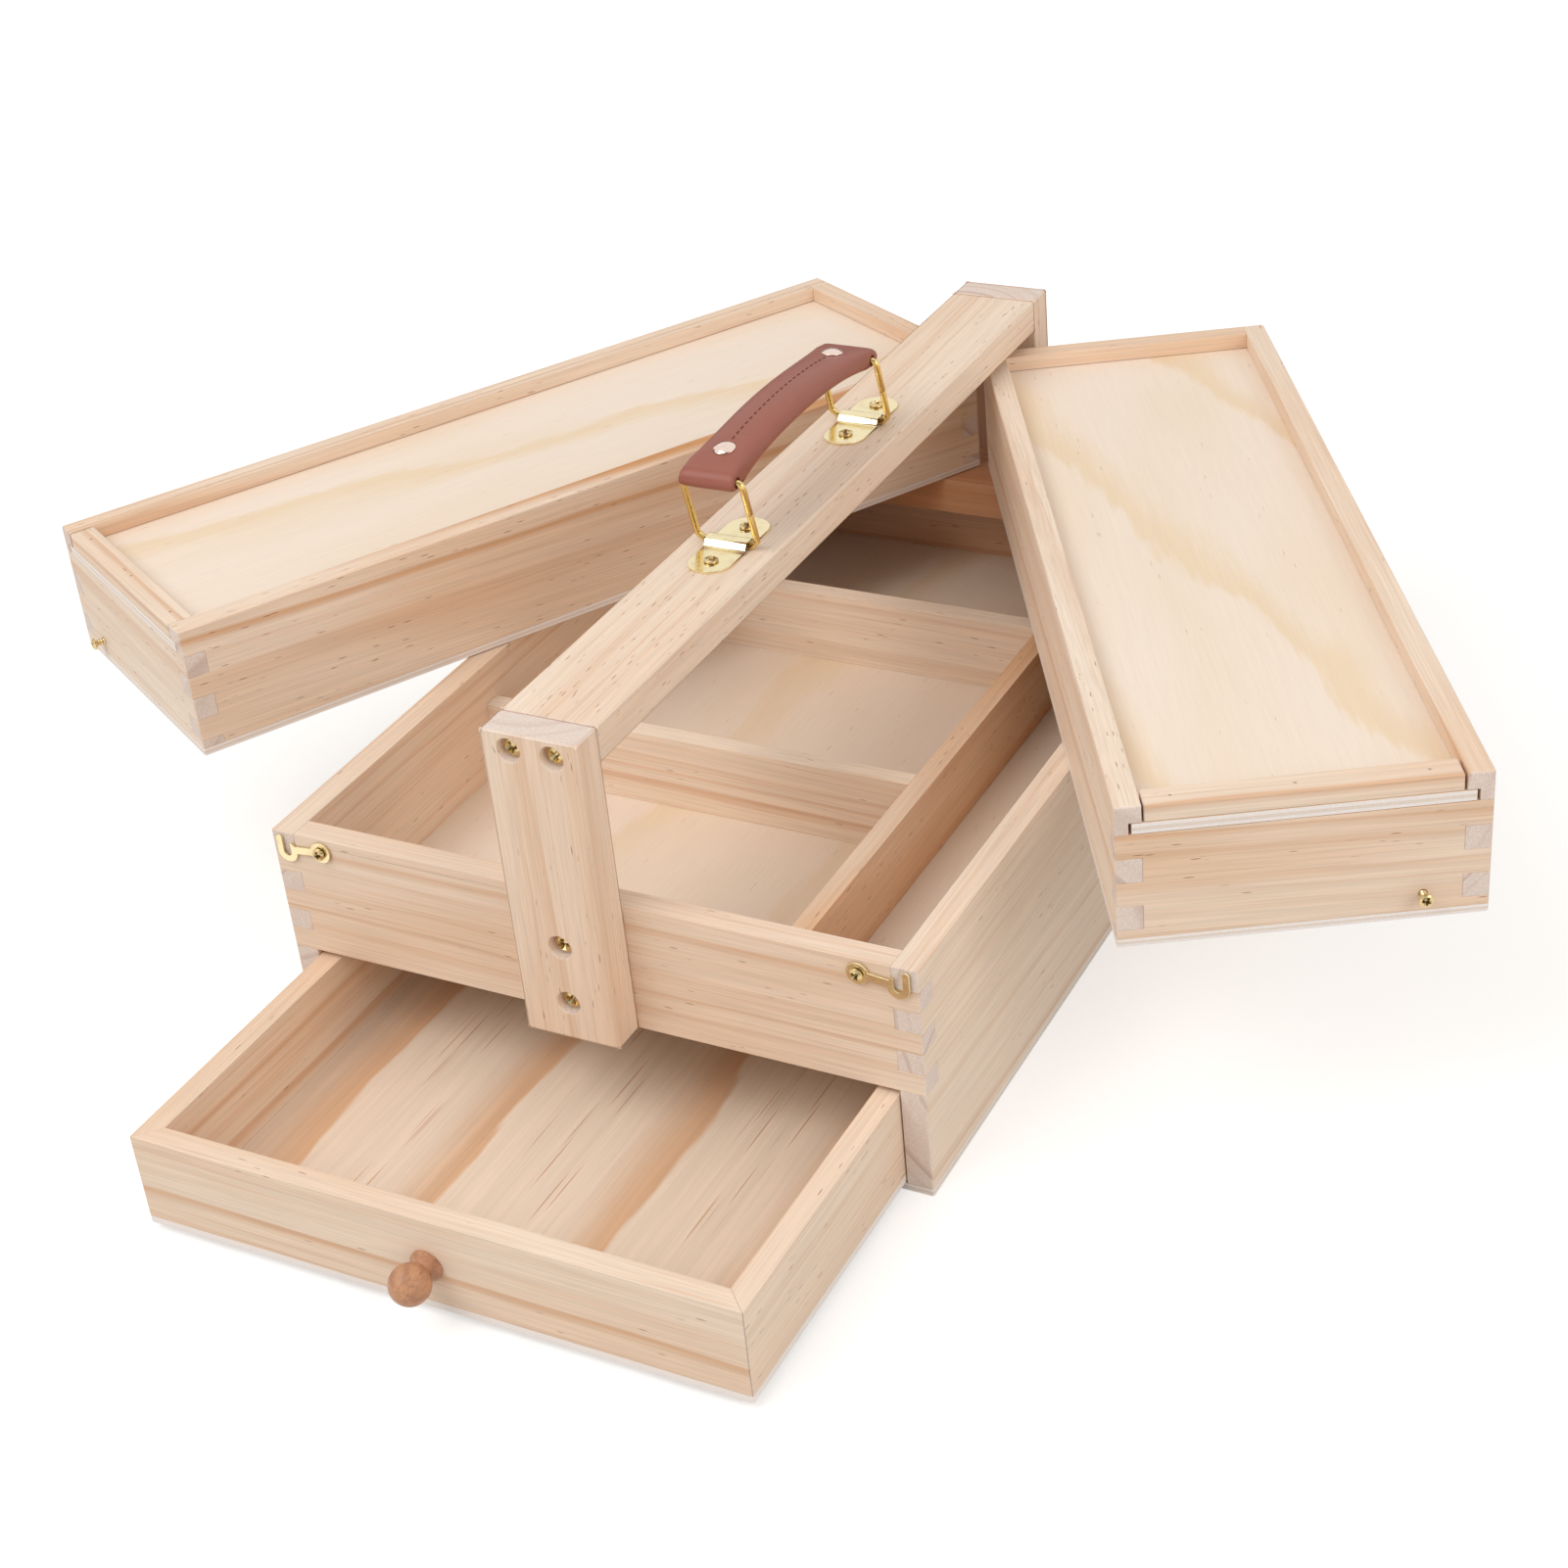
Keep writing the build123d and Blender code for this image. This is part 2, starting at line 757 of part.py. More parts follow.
def drawer_bottom_panel():
    low, high = drawer_envelope()
    panel = block(low, (high[0], high[1], drawer_floor))
    return eased(panel, *drawer_envelope(), vertical_only=True)


def drawer_knob():
    """A turned knob: a flange on the drawer's front, a neck and a ball."""
    ball = knob_length - knob_radius
    neck = ball - sqrt(knob_radius**2 - knob_neck**2)
    outline = Polyline((0, knob_length), (0, 0), (knob_flange, 0), (knob_flange, knob_flange_edge))
    cove = (knob_neck + knob_cove, (2 * knob_flange_edge + neck) / 3)
    hollow = ThreePointArc((knob_flange, knob_flange_edge), cove, (knob_neck, neck))
    sphere = ThreePointArc((knob_neck, neck), (knob_radius, ball), (0, knob_length))
    turned = revolve(Plane.XZ * make_face(outline + hollow + sphere), Axis.Z)
    knob = Pos(0, drawer_front, knob_z) * facing(-1) * turned
    return knob - knob_screw_place() * screw_hole(screw_shank, drawer_wall + knob_screw_depth)


def knob_screw():
    return knob_screw_place() * wood_screw(drawer_wall + knob_screw_depth)


# Saving

def save(name, solids):
    """Writes one node. Several solids are like pieces that share a name."""
    pieces = solids if isinstance(solids, list) else [solids]
    loose = [piece for solid in pieces for piece in solid.solids()]
    export_step(Compound(children=loose) if len(loose) > 1 else loose[0], f"parts/{name}.step")


def swung(solids, side):
    """Moves the right box's closed pieces to where they stand open, on the right or on the left."""
    pieces = solids if isinstance(solids, list) else [solids]
    hinge = Axis((side * pivot_x, pivot_y, 0), (0, 0, 1))
    if side < 0:
        pieces = [mirror(piece, about=Plane.YZ) for piece in pieces]
    return [piece.rotate(hinge, side * open_angle) for piece in pieces]


def save_base():
    save("base_front_wall", base_front_wall())
    save("base_rear_wall", base_rear_wall())
    save("base_left_wall", base_side_wall(-1))
    save("base_right_wall", base_side_wall(1))
    save("base_bottom_panel", base_bottom_panel())
    save("tray_floor", tray_floor())
    save("long_divider", long_divider())
    save("front_cross_divider", cross_divider(front_divider_y))
    save("rear_cross_divider", cross_divider(rear_divider_y))
    save("pivot_cleat", pivot_cleat())
    save("pivot_bolts", [pivot_bolt(side) for side in (-1, 1)])
    save("pivot_washers", pivot_washers(-1) + pivot_washers(1))
    save("pivot_nuts", [pivot_nut(side) for side in (-1, 1)])


def save_frame_and_handle():
    save("top_rail", top_rail())
    for side, name in ((-1, "front"), (1, "rear")):
        save(f"{name}_post", post(side))
        save(f"{name}_post_screws", post_screws(side))
        save(f"{name}_handle_plate", handle_plate(side))
        save(f"{name}_ring", ring(side))
    save("handle_plate_screws", handle_plate_screws())
    save("leather_grip", leather_grip())
    save("grip_rivets", [grip_rivet(side) for side in (-1, 1)])


def save_latches():
    save("right_hook", right_hook())
    save("left_hook", mirror(right_hook(), about=Plane.YZ))
    save("hook_screws", hook_screws())


def save_swing_boxes():
    pieces = {
        "box_inner_wall": box_side_wall(box_inner),
        "box_outer_wall": box_side_wall(box_outer - box_wall),
        "box_front_wall": box_front_wall(),
        "box_rear_wall": box_rear_wall(),
        "box_bottom_panel": box_bottom_panel(),
        "catch_screw": catch_screw(),
        "lid_panel": lid_panel(),
        "lid_batten": lid_batten(),
        "lid_nails": lid_nails(),
    }
    for side, name in ((-1, "left"), (1, "right")):
        for piece, solids in pieces.items():
            save(f"{name}_{piece}", swung(solids, side))


def save_drawer():
    save("drawer_front_board", drawer_front_board())
    save("drawer_back_board", drawer_end_board(drawer_rear, drawer_rear - drawer_wall))
    save("drawer_left_board", drawer_side_board(-1))
    save("drawer_right_board", drawer_side_board(1))
    save("drawer_bottom_panel", drawer_bottom_panel())
    save("drawer_knob", drawer_knob())
    save("knob_screw", knob_screw())


os.makedirs("parts", exist_ok=True)
save_base()
save_frame_and_handle()
save_latches()
save_swing_boxes()
save_drawer()
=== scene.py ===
import json
from math import asin, cos, hypot, pi, radians, sin, sqrt

import bpy
from mathutils import Euler, Matrix, Vector


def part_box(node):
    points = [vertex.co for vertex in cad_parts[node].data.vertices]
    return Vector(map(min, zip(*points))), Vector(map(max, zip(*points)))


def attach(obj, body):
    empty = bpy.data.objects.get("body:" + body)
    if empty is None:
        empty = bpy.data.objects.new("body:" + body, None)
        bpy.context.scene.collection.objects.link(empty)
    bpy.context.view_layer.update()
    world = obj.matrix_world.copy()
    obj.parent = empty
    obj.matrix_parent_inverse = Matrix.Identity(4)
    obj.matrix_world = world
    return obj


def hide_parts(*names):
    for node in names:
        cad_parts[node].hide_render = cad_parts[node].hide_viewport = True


bl_info = {
    "name": "Artist tool box",
    "version": (1, 0, 0),
    "blender": (4, 5, 0),
    "location": "View3D > Sidebar > Tool box",
    "description": "A pine tool box with swing boxes, a drawer, brass fittings and a leather handle",
    "category": "Object",
}

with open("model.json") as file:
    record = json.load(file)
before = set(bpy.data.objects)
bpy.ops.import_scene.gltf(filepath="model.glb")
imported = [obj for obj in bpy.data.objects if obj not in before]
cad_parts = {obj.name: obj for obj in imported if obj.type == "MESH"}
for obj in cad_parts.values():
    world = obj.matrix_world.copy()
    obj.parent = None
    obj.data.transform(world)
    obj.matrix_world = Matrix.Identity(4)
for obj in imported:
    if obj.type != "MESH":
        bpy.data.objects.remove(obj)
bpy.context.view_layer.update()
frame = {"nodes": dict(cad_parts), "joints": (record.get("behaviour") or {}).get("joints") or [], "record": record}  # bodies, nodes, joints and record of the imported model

# All sizes are in metres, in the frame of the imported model: +Z up, the front towards -Y.
MM = 0.001
MERGE = 0.005 * MM
ALONG = {"x": (0, 0, 0), "y": (0, 0, 90), "z": (0, -90, 0)}  # turns a board's length onto an axis
SIDES = ((-1, "left"), (1, "right"))


def joint(name):
    return next(j for j in frame["joints"] if j["name"] == name)


OPEN_ANGLE = -joint("right_box_swing")["range_deg"][0]
FRONT_FOOT = Vector(joint("front_ring_tilt")["pos_m"])
REAR_FOOT = Vector(joint("rear_ring_tilt")["pos_m"])
FRONT_BAR = Vector(joint("grip_turn")["pos_m"])
REAR_BAR = FRONT_BAR + REAR_FOOT - FRONT_FOOT
BAR_REACH = (REAR_BAR.y - FRONT_BAR.y) / 2  # from the middle of the grip to each of the bars in it
BAR_MIDDLE = (FRONT_BAR + REAR_BAR) / 2
RAIL_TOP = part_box("top_rail")[1].z

NAIL_RADIUS = 0.55 * MM
CATCH_PITCH = 1.1 * MM  # from one turn of a catch screw's thread to the next
BOLT_PITCH = 0.8 * MM
WASHER_RADIUS = 6.4 * MM
NUT_RADIUS = 4.55 * MM  # to its corners
BOLT_HOLE = 2.55 * MM
WIRE_SEAM = 0.12 * MM  # the gap where the ends of a ring's wire meet
SEAM_HEIGHT = 0.52  # its place up the right leg, as a share of the ring's height
PLATE_CROWN = 2.3 * MM  # half the flat top of a plate's raised middle
PLATE_FOOT = 4.1 * MM  # from a plate's middle to the foot of its slopes
PLATE_BEND = 0.85 * MM
RIVET_INSET = 12.0 * MM  # from the bars to the rivets
RIVET_RIM = 4.25 * MM
RIVET_DISC = 3.1 * MM
RIVET_DOME = 1.8 * MM
GRIP_SWELL = 1.2 * MM  # how much taller the leather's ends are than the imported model's
GRIP_ROLL = 1.4 * MM  # how much further its rolled ends stand out
GRIP_PLAY = 0.2 * MM  # how much narrower it is at each side, clear of the legs of the rings
GRIP_BORE = 0.3 * MM  # the room round the bars in it
GRIP_HOLLOW = 2.4 * MM  # how deep the mouths of its rolls are
GRIP_PADDING = 1.18  # half the length of the grip over half the length that is padded
GRIP_WAIST = 0.03  # the share by which the padded part is narrower than the rolls
STRAP_ROUNDING = 0.24  # the power that rounds the section of the flat strap at the ends
PADDED_ROUNDING = 0.54  # what the padding adds to that power
GRIP_CUTS = 95  # the sections along the grip, closer towards the rolls
GRIP_CROWDING = 1.35  # the power that draws them together there
FOLD = (7.0 * MM, 0.35 * MM)  # the slit under each roll, where the strap's end lies: length and height
FOLD_PLACE = (3.5 * MM, -0.9 * MM)  # its middle, inwards and up from the bar
GROOVE_DEPTH = 0.04 * MM
GROOVE_HALF = 1.2 * MM  # half the width of the groove that the stitches lie in
GROOVE_END = 3 * MM  # the run over which the groove fades out, before each rivet
STITCH_MARGIN = 5 * MM  # from the rivets to the first stitch
STITCH_SINK = 0.12 * MM


def linear(code):
    """An sRGB hex colour as linear red, green, blue and alpha."""
    channels = [int(code[i:i + 2], 16) / 255 for i in (1, 3, 5)]
    return tuple(c / 12.92 if c <= 0.04045 else ((c + 0.055) / 1.055) ** 2.4 for c in channels) + (1.0,)


# Settings that a user would change

def colour(name, code, description):
    return bpy.props.FloatVectorProperty(
        name=name, description=description, subtype="COLOR", size=4, min=0, max=1, default=linear(code)
    )


def amount(name, value, description, **settings):
    return bpy.props.FloatProperty(name=name, description=description, default=value, min=0, **settings)


def length(name, millimetres, description):
    return amount(name, millimetres * MM, description, unit="LENGTH")


def angle(name, degrees, description):
    return bpy.props.FloatProperty(
        name=name, description=description, subtype="ANGLE", default=radians(degrees)
    )


class ToolBoxColours(bpy.types.PropertyGroup):
    pine_early: colour("Pine early wood", "#F3DFCA", "The pale part of a growth ring")
    pine_late: colour("Pine late wood", "#D0935C", "The darker, harder part of a growth ring")
    pine_warm: colour("Pine heart side", "#DFA56E", "The warmer wood from nearer the heart of the tree")
    # Painted shade: the rear wall and the cleat are darkened all over towards this colour, for the shade at
    # the back of the box
    pine_painted_shade: colour("Pine, deep", "#CF8F58", "Darkens the boards at the back that are redder")
    pine_end: colour("Pine end grain", "#E6D6CB", "The greyish pink of the sawn ends")
    end_pore: colour("Pine end pores", "#CDB7AB", "The pores of the sawn ends")
    end_band: colour("Pine end bands", "#B5978A", "The late wood's bands on the sawn ends")
    pine_duct: colour("Resin ducts", "#8F5531", "The short dark dashes along the grain")
    ply_face: colour("Plywood face", "#F3E1CF", "The sanded face veneer of the plywood")
    ply_band: colour("Plywood figure", "#ECD0AA", "The flame figure of the face veneer")
    ply_edge: colour("Plywood edge", "#F4EAE3", "The cut edges of the plywood")
    ply_core: colour("Plywood core", "#DFCAB6", "The middle ply, seen at the edges")
    veneer_pale: colour("Drawer veneer, pale", "#EBD6C0", "The ground of the drawer's bottom")
    veneer_band: colour("Drawer veneer, band", "#D39B68", "The broad bands of the drawer's bottom")
    veneer_hair: colour("Drawer veneer, hairs", "#B5733F", "The hair lines of the drawer's bottom")
    knob_light: colour("Knob, light", "#C8926C", "The ground colour of the oiled hardwood knob")
    knob_cloud: colour("Knob, clouds", "#A87555", "The darker clouds of the knob")
    knob_dark: colour("Knob, dark", "#8A5A42", "The pores and streaks of the knob")
    leather: colour("Leather", "#94503F", "The dyed face of the handle's leather")
    leather_worn: colour("Leather, worn", "#AB6E59", "Where the dye is rubbed paler")
    leather_crease: colour("Leather creases", "#5E2A24", "Creases and pores of the leather")
    thread: colour("Thread", "#5C2016", "The waxed thread along the handle")
    thread_twist: colour("Thread, twist", "#4A1A14", "The twist of the thread")
    brass: colour("Brass", "#F2E2B6", "The plating of the plates and hooks")
    screw_brass: colour("Screw brass", "#DCC492", "The darker plating of the screws")
    ring_brass: colour("Ring brass", "#EBCE88", "The yellower plating of the two wire rings")
    rivet: colour("Rivet plating", "#F0D9CB", "The coppery nickel of the handle's rivets")
    steel: colour("Steel", "#B9B5AE", "The zinc plated bolts, washers, nuts and nails")
    # Painted shade: the near black that ambient occlusion paints into the screws' cross recesses
    painted_recess_shade: colour("Old polish", "#2B1C10", "What fills the hollows of the screws")


class ToolBoxSizes(bpy.types.PropertyGroup):
    sanded_edge: length("Sanded edge", 0.25, "How far the boards' edges are broken with sandpaper")
    rounded_edge: length("Rounded edge", 0.8, "How far the edges of the posts and the rail are rounded")
    wire: length("Wire diameter", 2.6, "The wire of the handle's rings")
    bend: length("Wire bend", 2.6, "The radius of the rings' upper bends, in the middle of the wire")
    foot: length("Ring foot", 3.2, "How far each leg of a ring turns in at its foot")
    foot_bend: length("Foot bend", 1.6, "The radius of the bends at a ring's feet")
    sheet: length("Plate thickness", 0.9, "The sheet metal of the handle's plates")
    saddle: length("Saddle lift", 2.75, "How far the middle of a plate is pressed up over the ring")
    stitch: length("Stitch", 2.0, "The length of one stitch")
    stitch_gap: length("Stitch gap", 1.6, "The space between two stitches")
    thread: length("Thread diameter", 0.7, "The waxed thread")


class ToolBoxStage(bpy.types.PropertyGroup):
    azimuth: angle("Azimuth", 29.9, "The camera's bearing, from the front towards the right")
    elevation: angle("Elevation", 31.6, "How far the camera looks down")
    roll: angle("Roll", -5.8, "How far the camera is tipped")
    focal_length: amount("Focal length", 63.03, "In millimetres, on a 36 mm sensor")
    camera_place: bpy.props.FloatVectorProperty(
        name="Camera place", description="Where the camera stands", subtype="TRANSLATION", unit="LENGTH",
        size=3, default=(0.4655, -0.8460, 0.6261),
    )
    key: amount("Key lamp", 22.5, "The large soft lamp over the front left", unit="POWER")
    fill: amount("Fill lamp", 10.0, "The weak lamp at the right", unit="POWER")
    sky: amount("Sky", 0.64, "The light that comes evenly from all round")


# Small helpers for objects

def clear():
    bpy.ops.object.select_all(action="DESELECT")


def pick(*pieces):
    """Selects these objects and nothing else; the last is active."""
    clear()
    for piece in pieces:
        piece.select_set(True)
        bpy.context.view_layer.objects.active = piece


def edit_all(piece):
    pick(piece)
    bpy.ops.object.mode_set(mode="EDIT")
    bpy.ops.mesh.select_mode(type="VERT")
    bpy.ops.mesh.select_all(action="SELECT")


def object_mode():
    bpy.ops.object.mode_set(mode="OBJECT")


def select_edges(piece, test):
    """In edit mode, selects just the edges whose two ends, in the piece's own metres, pass a test."""
    bpy.ops.mesh.select_mode(type="EDGE")
    bpy.ops.mesh.select_all(action="DESELECT")
    object_mode()
    points = piece.data.vertices
    chosen = [e for e in piece.data.edges if test(points[e.vertices[0]].co, points[e.vertices[1]].co)]
    for edge in chosen:
        edge.select = True
    bpy.ops.object.mode_set(mode="EDIT")
    if not chosen:
        raise RuntimeError(f"{piece.name}: no edge is where it should be")


def apply_modifier(piece, kind, **settings):
    pick(piece)
    modifier = piece.modifiers.new(kind, kind)
    for key, value in settings.items():
        setattr(modifier, key, value)
    bpy.ops.object.modifier_apply(modifier=modifier.name)


def ease_edges(piece, width, angle=35, segments=2):
    apply_modifier(
        piece, "BEVEL", width=width, segments=segments, limit_method="ANGLE",
        angle_limit=radians(angle), use_clamp_overlap=False,
    )


def cut(piece, cutter):
    """Cuts one object out of another and removes the cutter."""
    apply_modifier(piece, "BOOLEAN", object=cutter, operation="DIFFERENCE", solver="EXACT")
    bpy.data.objects.remove(cutter)


def seal(piece):
    """Merges what lies together and turns every face outwards."""
    edit_all(piece)
    bpy.ops.mesh.remove_doubles(threshold=MERGE)
    bpy.ops.mesh.normals_make_consistent(inside=False)
    object_mode()


def settle(piece):
    """Puts a piece's place into its mesh, with its object at the origin."""
    pick(piece)
    bpy.ops.object.transform_apply(location=True, rotation=True, scale=True)


def primitive(kind, name=None, **settings):
    clear()
    getattr(bpy.ops.mesh, f"primitive_{kind}_add")(**settings)
    piece = bpy.context.object
    piece.name = name or piece.name
    return piece


def joined(name, pieces):
    pick(*pieces)
    if len(pieces) > 1:
        bpy.ops.object.join()
    piece = bpy.context.view_layer.objects.active
    piece.name = name
    return piece


def copies(model, places):
    """One copy of a model for each place, each with its own mesh; the model itself goes."""
    made = []
    for place in places:
        piece = bpy.data.objects.new(model.name, model.data.copy())
        piece.data.transform(place)
        bpy.context.scene.collection.objects.link(piece)
        made.append(piece)
    bpy.data.objects.remove(model)
    return made


def body_of_node(node):
    groups = frame["record"]["behaviour"]["bodies"]
    return next(body for body, nodes in groups.items() if node in nodes)


def finish(piece, material, nodes=(), body=None, smooth=30, flats=False):
    """Gives a finished piece its material and the body of the nodes that it stands for, and hides those
    nodes.

    With flats, large flat faces keep their own direction right up to the eased edges beside them.
    """
    settle(piece)
    bpy.ops.object.shade_smooth_by_angle(angle=radians(smooth))
    if flats:
        apply_modifier(piece, "WEIGHTED_NORMAL", keep_sharp=True, weight=100)
    piece.data.materials.clear()
    piece.data.materials.append(material)
    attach(piece, body or body_of_node(nodes[0]))
    if nodes:
        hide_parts(*nodes)


def swing_of(node):
    """How far a node is turned with its swing box, in degrees."""
    body = body_of_node(node)
    return OPEN_ANGLE * (body.startswith("right") - body.startswith("left"))


def merged_copy(node, name):
    """A copy of a CAD node's mesh, its loose triangles merged and its flat faces made whole."""
    piece = bpy.data.objects.new(name, frame["nodes"][node].data.copy())
    bpy.context.scene.collection.objects.link(piece)
    pick(piece)
    bpy.ops.mesh.customdata_custom_splitnormals_clear()
    edit_all(piece)
    bpy.ops.mesh.remove_doubles(threshold=MERGE)
    bpy.ops.mesh.dissolve_limited(angle_limit=radians(0.5))
    object_mode()
    return piece


def turned(name, outline, sides=32):
    """A piece turned on a lathe: a disc that is drawn up the axis and scaled to each (radius, height)."""
    radius, height = outline[0]
    piece = primitive(
        "circle", name, vertices=sides, radius=radius, fill_type="NGON", location=(0, 0, height)
    )
    settle(piece)
    edit_all(piece)
    for next_radius, next_height in outline[1:]:
        bpy.ops.mesh.extrude_region_move(TRANSFORM_OT_translate={"value": (0, 0, next_height - height)})
        share = next_radius / radius
        bpy.ops.transform.resize(value=(share, share, 1), center_override=(0, 0, next_height))
        radius, height = next_radius, next_height
    object_mode()
    seal(piece)
    return piece


def dome(rim, low, top, steps=7, flat=0.02):
    """The outline of a ball's cap from its rim to a tiny flat at its top."""
    rise = top - low
    ball = (rim * rim + rise * rise) / (2 * rise)
    spread = asin(min(1, rim / ball))
    angles = [spread * (1 - i / steps) for i in range(steps)] + [spread * flat]
    return [(ball * sin(a), top - ball + ball * cos(a)) for a in angles]


def box_cutter(size, place):
    cutter = primitive("cube", size=1, location=place)
    cutter.scale = size
    settle(cutter)
    return cutter


def solids_of(node):
    """The corners of each separate solid of a CAD node, in a steady order."""
    pick(merged_copy(node, "loose"))
    bpy.ops.object.mode_set(mode="EDIT")
    bpy.ops.mesh.separate(type="LOOSE")
    object_mode()
    parts = list(bpy.context.selected_objects)
    clouds = [[v.co.copy() for v in part.data.vertices] for part in parts]
    for part in parts:
        bpy.data.objects.remove(part)
    return sorted(clouds, key=lambda cloud: tuple(round(c, 4) for c in sum(cloud, Vector()) / len(cloud)))


def axes_of(node, direction):
    """The move of a model to the far end of each solid of a node, +Z along direction, and its length."""
    heading = Vector(direction).normalized()
    turn = Vector((0, 0, 1)).rotation_difference(heading).to_matrix().to_4x4()
    found = []
    for cloud in solids_of(node):
        reach = [p.dot(heading) for p in cloud]
        across = [p - heading * p.dot(heading) for p in cloud]
        low = [min(p[k] for p in across) for k in range(3)]
        high = [max(p[k] for p in across) for k in range(3)]
        axis = (Vector(low) + Vector(high)) / 2
        end = axis + heading * (max(reach) - axis.dot(heading))
        found.append((Matrix.Translation(end) @ turn, max(reach) - min(reach)))
    return found


# Materials

def add(tree, kind, inputs=None, output=0, **settings):
    """Adds a node, sets its properties, fills or links its inputs, and gives one of its outputs."""
    node = tree.nodes.new("ShaderNode" + kind)
    for key, value in settings.items():
        setattr(node, key, value)
    for key, value in (inputs or {}).items():
        if isinstance(value, Value):
            tree.links.new(value.socket, node.inputs[key])
        else:
            node.inputs[key].default_value = value
    return Value(node.outputs[output]) if node.outputs else None


class Value:
    """What a node of a material puts out. Its sums, products, steps and patterns are new nodes."""

    def __init__(self, socket):
        self.socket = socket

    def add(self, kind, inputs, output=0, **settings):
        return add(self.socket.id_data, kind, inputs, output, **settings)

    def output(self, name):
        """Another output of the same node."""
        return Value(self.socket.node.outputs[name])

    def math(self, operation, *others):
        return self.add("Math", dict(enumerate((self, *others))), operation=operation)

    def __add__(self, other):
        return self.math("ADD", other)

    def __mul__(self, other):
        return self.math("MULTIPLY", other)

    def vector(self, operation, *others, output=0):
        return self.add("VectorMath", dict(enumerate((self, *others))), output, operation=operation)

    def part(self, axis):
        """One part of a vector: on a board 0 is along the grain, 1 across it and 2 through the board."""
        return self.add("SeparateXYZ", {0: self}, axis)

    def step(self, low, high, start=0.0, end=1.0):
        """A smooth change from start to end as the value goes from low to high."""
        inputs = {0: self, 1: low, 2: high, 3: start, 4: end}
        return self.add("MapRange", inputs, interpolation_type="SMOOTHSTEP")

    def band(self, low, full, end, none):
        """Rises from 0 at low to 1 at full, and falls from 1 at end to 0 at none."""
        return self.step(low, full) * self.step(end, none, 1.0, 0.0)

    def between(self, first, second):
        """The first colour where the value is 0, the second where it is 1."""
        return self.add("Mix", {0: self, 6: first, 7: second}, 2, data_type="RGBA")

    def mixed(self, share, second, way="MIX"):
        """This colour with a share of a second one."""
        return self.add("Mix", {0: share, 6: self, 7: second}, 2, data_type="RGBA", blend_type=way)

    def toned(self, pattern, darkest, lightest):
        """This colour made darker and lighter by a pattern."""
        return self.mixed(1.0, pattern.step(0.3, 0.7, darkest, lightest), "MULTIPLY")

    def drawn_out(self, long, wide):
        """This place divided by the length and the width in millimetres of what a pattern draws."""
        return self.vector("MULTIPLY", (1 / long, 1 / wide, 1 / wide))

    def mottle(self, seed, long, wide, detail=2.0, output="Fac"):
        """Cloudy marks of a length and a width in millimetres, from 0 to 1."""
        inputs = {"Vector": self.drawn_out(long, wide), "W": seed, "Scale": 1.0, "Detail": detail}
        return self.add("TexNoise", inputs, output, noise_dimensions="4D")

    def dashes(self, long, wide, start, end, share, **settings):
        """Cells of a length and a width in millimetres, a share of them marked round their middle."""
        inputs = {"Vector": self.drawn_out(long, wide), "Scale": 1.0, **settings}
        cells = self.add("TexVoronoi", inputs, "Distance", voronoi_dimensions="4D" if settings else "3D")
        return cells.step(start, end, 1.0, 0.0) * cells.output("Color").math("LESS_THAN", share)


def new_material(name):
    material = bpy.data.materials.new(name)
    material.use_nodes = True
    material.node_tree.nodes.clear()
    return material, material.node_tree, bpy.context.scene.tool_box_colours


def shade(material, base, rough, height, depth, strength=0.25, **sockets):
    """Ends a material with the surface shader, with a bump that stands up to depth metres high."""
    tree = material.node_tree
    bump = add(tree, "Bump", {"Strength": strength, "Distance": depth, "Height": height})
    names = {key.replace("_", " "): value for key, value in sockets.items()}
    surface = add(tree, "BsdfPrincipled", {"Base Color": base, "Roughness": rough, "Normal": bump, **names})
    add(tree, "OutputMaterial", {"Surface": surface})
    return material


def object_place(tree, output="Object"):
    return add(tree, "TexCoord", output=output)


def millimetres(tree):
    """A place on the object in millimetres."""
    return add(tree, "Mapping", {"Vector": object_place(tree), "Scale": (1 / MM,) * 3})


def board_turn(grain, swing=0.0, tilt=(0.0, 0.0)):
    """The turn of a board's own axes: length along the grain, tipped a little, swung with its box."""
    turn = Euler([radians(a) for a in ALONG[grain]]).to_matrix()
    lean = Euler((0, radians(tilt[0]), radians(tilt[1]))).to_matrix()
    return (Euler((0, 0, radians(swing))).to_matrix() @ turn @ lean).to_euler()


def board_axes(tree, centre, turn):
    """A place on a board in millimetres along its own axes, and the way the board's face looks."""
    inputs = {"Vector": object_place(tree), "Location": centre, "Rotation": turn, "Scale": (MM, MM, MM)}
    place = add(tree, "Mapping", inputs, vector_type="TEXTURE")
    inputs = {"Vector": object_place(tree, "Normal"), "Rotation": turn}
    return place, add(tree, "Mapping", inputs, vector_type="TEXTURE")


def board_material(name, centre, turn):
    material, tree, colours = new_material(name)
    return material, colours, *board_axes(tree, centre, turn)


def growth_rings(place, pith, ring, wobble, seed):
    """How far a point lies through its year, and a number for that year, round a wavering pith."""
    drift = place.mottle(seed, 190, 42, output="Color").vector("SUBTRACT", (0.5, 0.5, 0.5))
    pushed = drift.vector("MULTIPLY_ADD", (0, wobble, wobble), place)
    across = pushed.vector("SUBTRACT", (0, *pith)).vector("MULTIPLY", (0, 1, 1))
    years = across.vector("LENGTH", output="Value").math("DIVIDE", ring)
    inputs = {"W": years * 0.31 + seed, "Scale": 1.0, "Detail": 1.0}
    year = place.add("TexNoise", inputs, "Fac", noise_dimensions="1D") * 2.6 + years
    inputs = {"W": year.math("FLOOR") + seed}
    return year.math("FRACT"), place.add("TexWhiteNoise", inputs, "Value", noise_dimensions="1D")


def ducts(place, long, wide, share, seed):
    """Resin ducts: short dashes along the grain, in clusters that are larger with a larger share."""
    spread = place.mottle(seed + 3, 90, 11)
    cluster = spread.step(0.51 - 0.12 * share, 0.59 - 0.12 * share)
    return place.dashes(long, wide, 0.15, 0.32, 0.26 + 0.24 * share, W=seed) * cluster


